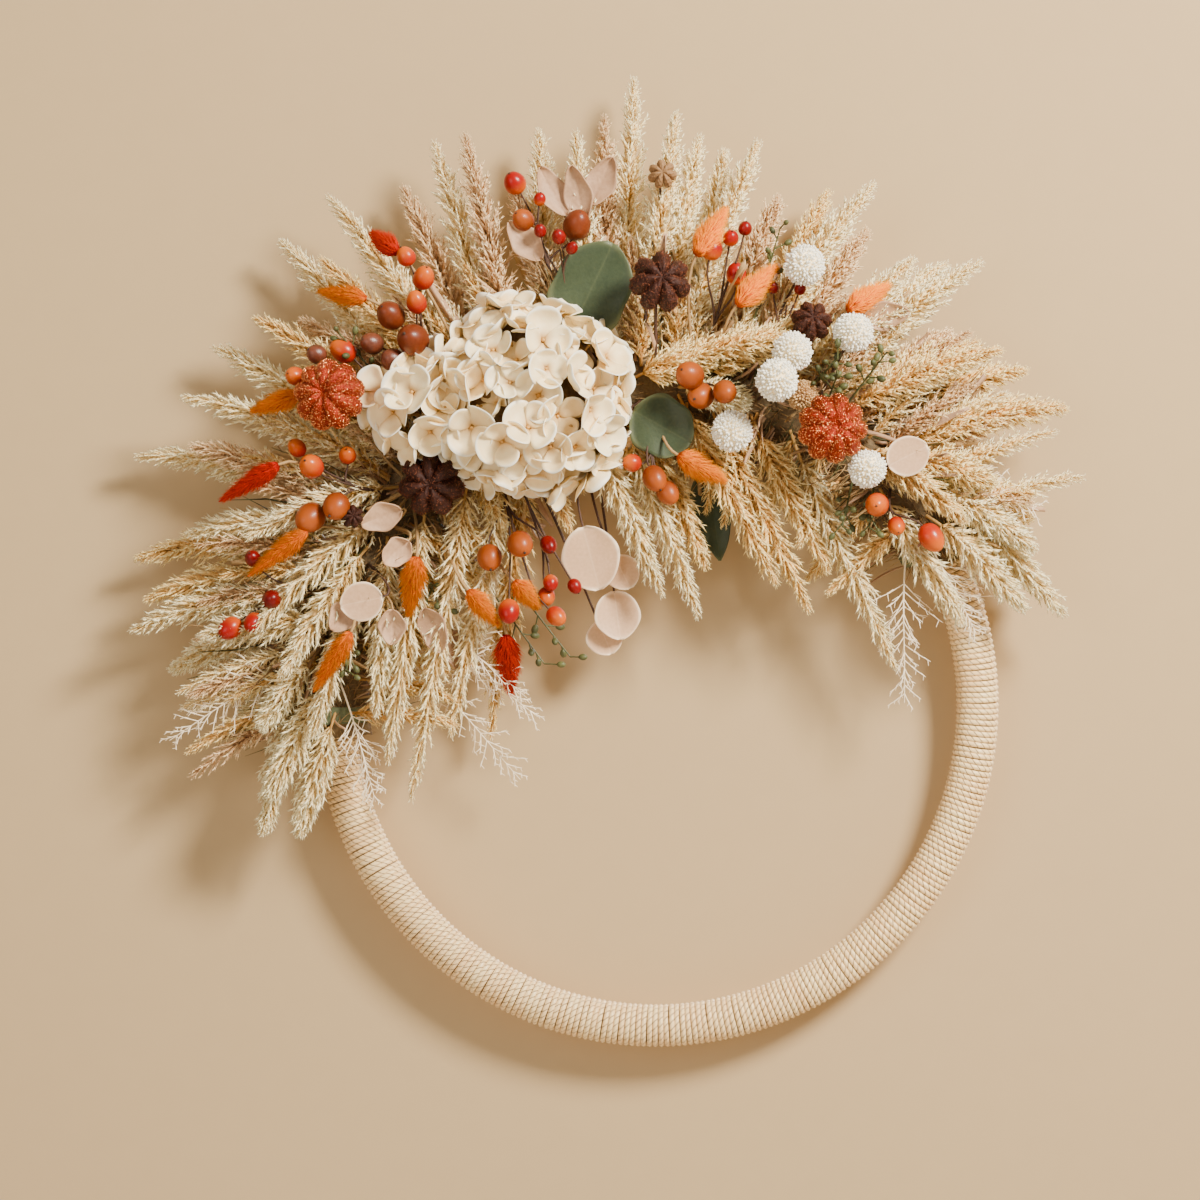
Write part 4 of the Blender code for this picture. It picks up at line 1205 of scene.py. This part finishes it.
def berry_spray(name, root, crown, heads, finish, nodes=()):
    """A main twig to the crown with one side twig a berry. A head may end with its own finish."""
    start, leave = root_on_base(*root)
    crown = at(*crown)
    way = (crown - start).normalized()
    main = bend(start, leave, crown, way, 7)
    lines = [(main, [0.0011 - 0.0001 * k for k in range(7)])]
    berries, finishes = [], []
    for index, head in enumerate(heads):
        place, radius = at(*head[:3]), head[3]
        fork = main[3 + index % 3]
        out = (place - fork).normalized()
        arrive = (out + Vector(chance.normal(0, 0.25, 3)) + FRONT * 0.2).normalized()
        side = bend(fork, (way + out).normalized(), place - arrive * radius * 0.9, arrive, 6)
        lines.append((side, [0.0008 - 0.00006 * k for k in range(6)]))
        berries.append((place, radius, (arrive + FRONT * 0.35).normalized()))
        finishes.append(head[4] if len(head) > 4 else finish)
    kinds = list(dict.fromkeys(finishes))
    groups = [once(wires(lines), 0.5)]
    for kind in kinds:
        groups.append(berry_group([b for b, f in zip(berries, finishes) if f is kind])[0])
    groups.append(berry_group(berries)[1])
    piece(name, groups, [TWIG, *kinds, CALYX], nodes)


SPRAYS = [
    ("berry_spray_top", (103, 36), (104, 0.088, 0.022),
     [(105.2, 0.125, 0.028, 0.0064), (105.4, 0.103, 0.031, 0.0062, SATIN), (99.4, 0.0935, 0.030, 0.0080, NUT),
      (103.0, 0.112, 0.034, 0.0036)], HIP),
    ("berry_spray_upper_left", (126, 24), (123.5, 0.064, 0.034),
     [(118.6, 0.0925, 0.044, 0.0062), (120.8, 0.082, 0.052, 0.0058), (124.3, 0.084, 0.046, 0.0078, NUT),
      (128.2, 0.0775, 0.044, 0.0062, DARK_NUT), (119.2, 0.108, 0.046, 0.0054)], BERRY),
    ("berry_spray_left", (142, 70), (145, 0.038, 0.044),
     [(145.3, 0.054, 0.048, 0.0068), (151.6, 0.039, 0.048, 0.0084, SATIN), (141.0, 0.0414, 0.044, 0.0050),
      (148.2, 0.029, 0.054, 0.0078, SATIN), (144.4, 0.067, 0.044, 0.0050)], BERRY),
    ("berry_spray_bottom", (124, 140), (130, -0.062, 0.030),
     [(147.6, -0.0865, 0.046, 0.0062), (124.0, -0.076, 0.042, 0.0048, CRIMSON),
      (138.5, -0.110, 0.040, 0.0054, BERRY),
      (138.6, -0.059, 0.040, 0.0072, SATIN), (130.3, -0.066, 0.050, 0.0074, SATIN)], HIP),
    ("berry_spray_centre", (80.5, 88), (81, 0.0, 0.042),
     [(84.4, 0.003, 0.056, 0.0080), (82.0, -0.008, 0.050, 0.0076), (77.8, -0.0035, 0.058, 0.0068)], SATIN),
    ("berry_spray_right", (42.5, 100), (39.5, -0.014, 0.038),
     [(42.4, -0.0165, 0.052, 0.0068), (36.8, -0.0155, 0.048, 0.0050), (31.4, -0.0025, 0.046, 0.0070)], BERRY),
]
for name, root, crown, heads, finish in SPRAYS:
    berry_spray(name + "_dressed", root, crown, heads, finish, [name])
MORE_SPRAYS = [
    ((136, 50), (133.5, 0.070, 0.036),
     [(131.5, 0.085, 0.040, 0.0066), (134.1, 0.094, 0.040, 0.0056, DARK_NUT),
                                       (137.7, 0.094, 0.042, 0.0054)], BERRY),
    ((160, 60), (165, 0.042, 0.040), [(169.8, 0.062, 0.042, 0.0062), (168.4, 0.049, 0.046, 0.0056),
                                     (164.6, 0.042, 0.048, 0.0056, CRIMSON),
                                     (160.0, 0.060, 0.040, 0.0046, CRIMSON)], HIP),
    ((82, 50), (80.5, 0.060, 0.036), [(83.1, 0.077, 0.040, 0.0062), (81.0, 0.085, 0.038, 0.0046),
                                     (79.5, 0.092, 0.036, 0.0040, CRIMSON), (79.6, 0.065, 0.044, 0.0058)],
                                     HIP),
    ((92, 120), (91, -0.050, 0.040), [(90.5, -0.057, 0.044, 0.0068), (87.0, -0.065, 0.042, 0.0064),
                                     (95.9, -0.047, 0.040, 0.0052, BERRY)], SATIN),
    ((125, 56), (125, 0.048, 0.040), [(123.7, 0.065, 0.052, 0.0090, NUT), (127.4, 0.062, 0.048, 0.0070),
                                     (128.0, 0.045, 0.046, 0.0046)], DARK_NUT),
    ((103, 44), (102, 0.080, 0.040), [(101.8, 0.088, 0.042, 0.0040), (103.8, 0.094, 0.038, 0.0036),
                                     (100.5, 0.080, 0.044, 0.0034)], CRIMSON),
    ((121, 148), (127, -0.084, 0.034), [(124.6, -0.104, 0.038, 0.0040), (131.0, -0.094, 0.036, 0.0044, HIP),
                                       (135.5, -0.098, 0.032, 0.0050, BERRY)], CRIMSON),
    ((70, 60), (72.0, 0.055, 0.040), [(74.5, 0.062, 0.044, 0.0036), (71.0, 0.066, 0.042, 0.0034)], CRIMSON),
]
for number, (root, crown, heads, finish) in enumerate(MORE_SPRAYS, 1):
    berry_spray(f"small_spray_{number}", root, crown, heads, finish)
brown_pod("small_brown_pod", (148.2, 0.0185, 0.052), 0.0068, (148, 84), (0.2, 0.1), fibres=500,
          in_frame=False)


# %% [markdown]
# The round leaves are leathery, dark grey-green and a little cupped, with a paler rim and fine veins. Each is
# pulled from a grid into a rounded blade and given a thin edge, with the veins pressed in slightly.

# %% Leaves, discs and petal leaves
def blade_shape(length, width, cup, veins, seed, blunt=0.5, thickness=0.0006, ruffle=0.0, power=0.62,
                segments=22):
    """A leaf blade from the origin towards +X, cupped towards +Z."""
    deselect()
    bpy.ops.mesh.primitive_grid_add(x_subdivisions=segments, y_subdivisions=16, size=1.0)
    blade = bpy.context.object
    pick = np.random.default_rng(seed)
    phase = pick.uniform(0, 6)
    for vertex in blade.data.vertices:
        along, across = vertex.co.x + 0.5, vertex.co.y * 2
        half = width * max(0.02, math.sin(math.pi * min(1, along) ** blunt)) ** power
        x = along * length
        y = across * half * (1 + ruffle * 0.25 * math.sin(11 * along + phase))
        rise = cup * (across**2 * width * 0.55 + (along - 0.5) ** 2 * length * 0.5)
        rise += ruffle * width * 0.16 * math.sin(9 * along + 3 * across + phase) * abs(across)
        rib = math.exp(-(across * 9) ** 2) * veins * 1.4
        slant = (along - abs(across) * 0.42) * 6.0
        side = math.exp(-((slant - round(slant)) * 7) ** 2) * veins * 0.8 * (1 - abs(across)) if veins else 0
        vertex.co = (x, y, rise - rib - side)
    solid = blade.modifiers.new("thin", "SOLIDIFY")
    solid.thickness = thickness
    solid.offset = 0
    bpy.ops.object.modifier_apply(modifier=solid.name)
    shape = taken(blade)
    edge = np.hypot(shape.points[:, 1] / width, 2 * shape.points[:, 0] / length - 1)
    middle = np.exp(-(shape.points[:, 1] / (width * 0.045)) ** 2)
    shape.along = np.clip(np.maximum(edge**8, middle * 0.45), 0, 1)
    return shape


def laid(foot, tip, roll=0.0, face=FRONT):
    """A placement with +X from foot to tip and +Z towards the face direction."""
    along = (tip - foot).normalized()
    up = (face - along * face.dot(along)).normalized()
    up.rotate(Matrix.Rotation(roll, 3, along))
    side = up.cross(along)
    matrix = Matrix((along, side, up)).transposed().to_4x4()
    matrix.translation = foot
    return np.array(matrix)


def leaf(name, root, foot, tip, width, finish, nodes=(), cup=0.14, veins=0.0002, roll=0.0, blunt=0.9,
         ruffle=0.25, power=0.5, petiole=TWIG):
    start, leave = root_on_base(*root)
    foot, tip = at(*foot), at(*tip)
    seed = len(name) * 7 + int(width * 1e5)
    shape = blade_shape((tip - foot).length, width, cup, veins, seed, blunt, ruffle=ruffle, power=power)
    way = (tip - foot).normalized()
    line = bend(start, leave, foot + way * 0.001, way, 8)
    wire = wires([(line, [0.0010 - 0.00005 * k for k in range(8)])])
    piece(name, [placed(shape, [laid(foot, tip, roll)]), once(wire)], [finish, petiole], nodes)


LEAF_EDGED = dress("round_leaf", (0.022, 0.036, 0.016), (0.052, 0.074, 0.034), 0.5, grain=600, blotch=70,
                   bump=0.25, tip=(0.115, 0.135, 0.062), tip_range=(0.2, 1.0), Coat_Weight=0.06,
                   Specular_IOR_Level=0.3)
DISC_EDGED = dress("blush_disc", (0.50, 0.29, 0.155), (0.74, 0.47, 0.275), 0.55, grain=600, blotch=30,
                   bump=0.2,
                   tip=(0.95, 0.73, 0.50), tip_range=(0.2, 1.0), Subsurface_Weight=0.12,
                   Subsurface_Radius=(0.004, 0.003, 0.002), Subsurface_Scale=1.0)
leaf("leaf_top_dressed", (97, 60), (103.2, 0.032, 0.033), (95.4, 0.080, 0.035), 0.0232, LEAF_EDGED,
     ["leaf_top"])
leaf("leaf_right_dressed", (93, 120), (94.5, -0.017, 0.034), (82.5, -0.035, 0.036), 0.0182, LEAF_EDGED,
     ["leaf_right"])
leaf("leaf_low_dressed", (80, 165), (78.0, -0.046, 0.012), (66.0, -0.096, 0.014), 0.0118, LEAF_EDGED,
     ["leaf_low"], blunt=0.7, power=0.75)
leaf("paper_disc_upper_dressed", (108, 160), (112.5, -0.076, 0.030), (116.2, -0.113, 0.032), 0.0172,
     DISC_EDGED,
     ["paper_disc_upper"], veins=0.0001, blunt=0.95, roll=0.2, ruffle=0.08)
leaf("paper_disc_lower_dressed", (104, 168), (110.5, -0.117, 0.018), (119.0, -0.144, 0.019), 0.0138,
     DISC_EDGED,
     ["paper_disc_lower"], veins=0.0001, blunt=0.95, roll=-0.25, ruffle=0.08)
DISCS = [
    ((154, 96), (158.5, -0.018, 0.050), (162.5, 0.003, 0.050), 0.0115),
    ((46, 84), (46.0, 0.004, 0.046), (43.8, 0.028, 0.046), 0.0115),
    ((106, 168), (106.0, -0.098, 0.026), (102.5, -0.118, 0.026), 0.0105),
    ((118, 160), (125.0, -0.128, 0.014), (131.5, -0.148, 0.014), 0.0110),
]
for number, (root, foot, tip, width) in enumerate(DISCS, 1):
    leaf(f"small_disc_{number}", root, foot, tip, width, DISC_EDGED, veins=0.0001, blunt=0.95,
         ruffle=0.06)
BLUSH_LEAVES = [
    ((98, 14), (97.5, 0.104, 0.024), (94.6, 0.130, 0.026)),
    ((101, 14), (100.6, 0.100, 0.026), (102.4, 0.130, 0.028)),
    ((97, 14), (98.5, 0.094, 0.026), (98.8, 0.128, 0.032)),
    ((160, 80), (161.0, -0.004, 0.046), (167.0, 0.004, 0.046)),
    ((158, 100), (160.0, -0.026, 0.044), (167.0, -0.032, 0.044)),
    ((150, 150), (160.0, -0.062, 0.024), (171.0, -0.074, 0.022)),
    ((104, 50), (104.5, 0.078, 0.030), (107.0, 0.104, 0.030)),
    ((64, 66), (62.0, 0.064, 0.040), (57.5, 0.082, 0.040)),
    ((146, 96), (142.5, -0.002, 0.046), (148.5, 0.012, 0.048)),
    ((131, 80), (127.0, 0.038, 0.046), (132.5, 0.050, 0.050)),
    ((150, 120), (157.0, -0.043, 0.040), (166.0, -0.060, 0.038)),
    ((146, 96), (146.5, -0.016, 0.044), (152.5, -0.010, 0.046)),
]
for number, (root, foot, tip) in enumerate(BLUSH_LEAVES, 1):
    leaf(f"blush_petal_{number}", root, foot, tip, 0.0084, BLUSH, cup=0.5, veins=0.0003,
         ruffle=0.3, power=0.62, roll=0.3 * (number % 3 - 1), petiole=STALK)


# %% [markdown]
# The thin fillers finish the outline: pale wispy twigs whose side twigs leave in pairs, and green bud twigs
# with small closed buds. They are drawn wires with the twigs and buds placed along them.

# %% Wispy twigs and bud twigs
def wisp(name, root, tip, droop=0.1, spread=0.021, pairs=15, bare=0.30):
    start, leave = root_on_base(*root)
    end = at(*tip)
    way = (end - start).normalized()
    points = bend(start, (leave * 0.4 + way + UP * droop).normalized(), end, (way - UP * droop).normalized(),
                  18)
    lines = [(points, [0.0007 - 0.0005 * k / 17 for k in range(18)])]
    for k in range(pairs):
        share = bare + (1 - bare) * k / pairs
        place, forward = sample(points, share)
        side = forward.cross(FRONT).normalized()
        length = spread * (1 - 0.6 * k / pairs)
        for sign in (-1, 1):
            lean = math.radians(chance.uniform(24, 48))
            out = forward * math.cos(lean) + side * sign * math.sin(lean) + Vector(chance.normal(0, 0.22, 3))
            far = place + out * length * chance.uniform(0.75, 1.1)
            near = place.lerp(far, 0.5) + forward * length * 0.04
            lines.append(([place, near, far], [0.00036, 0.00030, 0.00018]))
            for step, turn in ((0.35, 1), (0.55, -1), (0.75, 1), (0.9, -1)):
                mid = place.lerp(far, step)
                twist = out + side * sign * 0.9 * turn + forward * 0.5 + Vector(chance.normal(0, 0.3, 3))
                twist.normalize()
                lines.append(([mid, mid + twist * length * 0.24], [0.00028, 0.00016]))
    piece(name, [once(wires(lines))], [WISP])


WISPS = [
    ((172, 60), (184.2, 0.095, 0.022)), ((166, 150), (209.0, -0.097, 0.014)),
    ((162, 156), (186.0, -0.118, 0.012)),
    ((158, 150), (177.0, -0.112, 0.020)), ((34, 120), (0.5, -0.044, 0.026)),
    ((32, 100), (12.5, 0.002, 0.026)),
    ((176, 100), (199.0, -0.016, 0.036)), ((96, 150), (76.0, -0.118, 0.024)),
    ((42, 60), (27.0, 0.060, 0.030)),
]
for number, (root, tip) in enumerate(WISPS, 1):
    wisp(f"wispy_twig_{number}", root, tip)


def bud_twig(name, root, tip, buds=8):
    start, leave = root_on_base(*root)
    end = at(*tip)
    way = (end - start).normalized()
    points = bend(start, (leave * 0.3 + way).normalized(), end, way, 12)
    lines, heads = [(points, [0.0009 - 0.0005 * k / 11 for k in range(12)])], []
    deselect()
    bpy.ops.mesh.primitive_uv_sphere_add(segments=10, ring_count=8, radius=1)
    seed = bpy.context.object
    seed.scale = (0.72, 0.72, 1.05)
    shape = taken(seed, along=lambda p: (p[2] + 1.15) / 2.3)
    for k in range(buds):
        place, forward = sample(points, 0.55 + 0.45 * k / max(1, buds - 1))
        side = forward.orthogonal().normalized()
        side.rotate(Matrix.Rotation(GOLDEN_TURN * k, 3, forward))
        out = (forward * 0.8 + side).normalized()
        far = place + out * chance.uniform(0.005, 0.011)
        lines.append(([place, far], [0.0005, 0.0004]))
        heads.append(facing(far, out, 0, chance.uniform(0.0020, 0.0029)))
    piece(name, [once(wires(lines)), placed(shape, heads)], [BUD, BUD])


BUD_TWIGS = [
    ((60, 80), (61.5, 0.029, 0.058)), ((58, 76), (57.0, 0.054, 0.054)), ((140, 166), (160.0, -0.118, 0.016)),
    ((136, 168), (151.0, -0.130, 0.014)), ((162, 100), (173.5, -0.008, 0.046)),
    ((50, 110), (44.0, -0.039, 0.044)),
    ((46, 104), (40.0, -0.028, 0.044)), ((66, 88), (62.5, 0.036, 0.062)),
    ((146, 120), (156.0, -0.052, 0.034)),
    ((76, 60), (75.5, 0.096, 0.040)), ((130, 50), (130.5, 0.094, 0.046)),
]
for number, (root, tip) in enumerate(BUD_TWIGS, 1):
    bud_twig(f"bud_twig_{number}", root, tip)


# %% [markdown]
# The hoop core, the felt pads, the binding bands and the steel hanger keep the frame's own solids. Only their
# finishes change: cane, felt with a soft sheen, paper tape and plated steel, each mottled by noise with a
# fine bump.

# %% Finishes for the parts kept as they are
CANE = dress("cane", (0.30, 0.17, 0.075), (0.62, 0.43, 0.22), 0.5, grain=260, blotch=60, bump=0.5,
             depth=0.0006)
FELT = dress("felt", (0.070, 0.042, 0.022), (0.20, 0.13, 0.075), 0.95, grain=1400, blotch=90, bump=0.9,
             depth=0.0006, Sheen_Weight=0.6, Sheen_Roughness=0.6)
TAPE = dress("florist_tape", (0.085, 0.11, 0.050), (0.20, 0.24, 0.12), 0.6, grain=500, blotch=260, bump=0.7,
             depth=0.0006)
STEEL = dress("plated_steel", (0.42, 0.40, 0.37), (0.72, 0.70, 0.66), 0.32, grain=1600, blotch=120, bump=0.25,
              depth=0.0002, Metallic=1.0)


def wear(name, finish):
    node = frame["nodes"][name]
    node.data.materials.clear()
    node.data.materials.append(finish)


for name in ("felt_backing_left", "felt_backing_right"):
    wear(name, FELT)
for name in ("binding_band_left", "binding_band_right"):
    wear(name, TAPE)
for name in ("hanger_strap", "hanger_screw", "hanger_ring"):
    wear(name, STEEL)
wear("hoop_core", CANE)


# %% Wall and floor
def stage_plane(name, size, place, turn, finish):
    deselect()
    bpy.ops.mesh.primitive_plane_add(size=size, location=place, rotation=turn)
    plane = bpy.context.object
    plane.name = name
    plane.data.materials.append(finish)
    return plane


def wall_finish():
    """Pale matt paint, seen from the front only. The lamp behind shines through it, to light the back."""
    made = dress("wall_paint", (0.480, 0.340, 0.178), (0.502, 0.357, 0.189), 0.9, grain=60, blotch=3,
                 bump=0.03)
    nodes, links = made.node_tree.nodes, made.node_tree.links
    output = nodes["Material Output"]
    facing_in = nodes.new("ShaderNodeNewGeometry")
    rays = nodes.new("ShaderNodeLightPath")
    either = nodes.new("ShaderNodeMath")
    either.operation = "MAXIMUM"
    clear = nodes.new("ShaderNodeBsdfTransparent")
    swap = nodes.new("ShaderNodeMixShader")
    links.new(facing_in.outputs["Backfacing"], either.inputs[0])
    links.new(rays.outputs["Is Shadow Ray"], either.inputs[1])
    links.new(either.outputs["Value"], swap.inputs["Fac"])
    links.new(nodes["Principled BSDF"].outputs["BSDF"], swap.inputs[1])
    links.new(clear.outputs["BSDF"], swap.inputs[2])
    links.new(swap.outputs["Shader"], output.inputs["Surface"])
    return made


FLOOR_FINISH = dress("floor_paint", (0.60, 0.55, 0.48), (0.66, 0.61, 0.54), 0.9, grain=40, blotch=2,
                     bump=0.02)
WALL_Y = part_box("felt_backing_left")[1].y + 0.0008
wall = stage_plane("wall", 6.0, (HOOP.x, WALL_Y, HOOP.z), (math.pi / 2, 0, 0), wall_finish())
floor = stage_plane("floor", 8.0, (0, 0, HOOP.z - 1.0), (0, 0, 0), FLOOR_FINISH)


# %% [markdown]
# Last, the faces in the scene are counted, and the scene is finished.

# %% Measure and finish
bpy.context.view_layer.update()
triangles = sum(len(o.data.polygons) for o in bpy.data.objects if o.type == "MESH")
print("faces in the scene:", triangles)
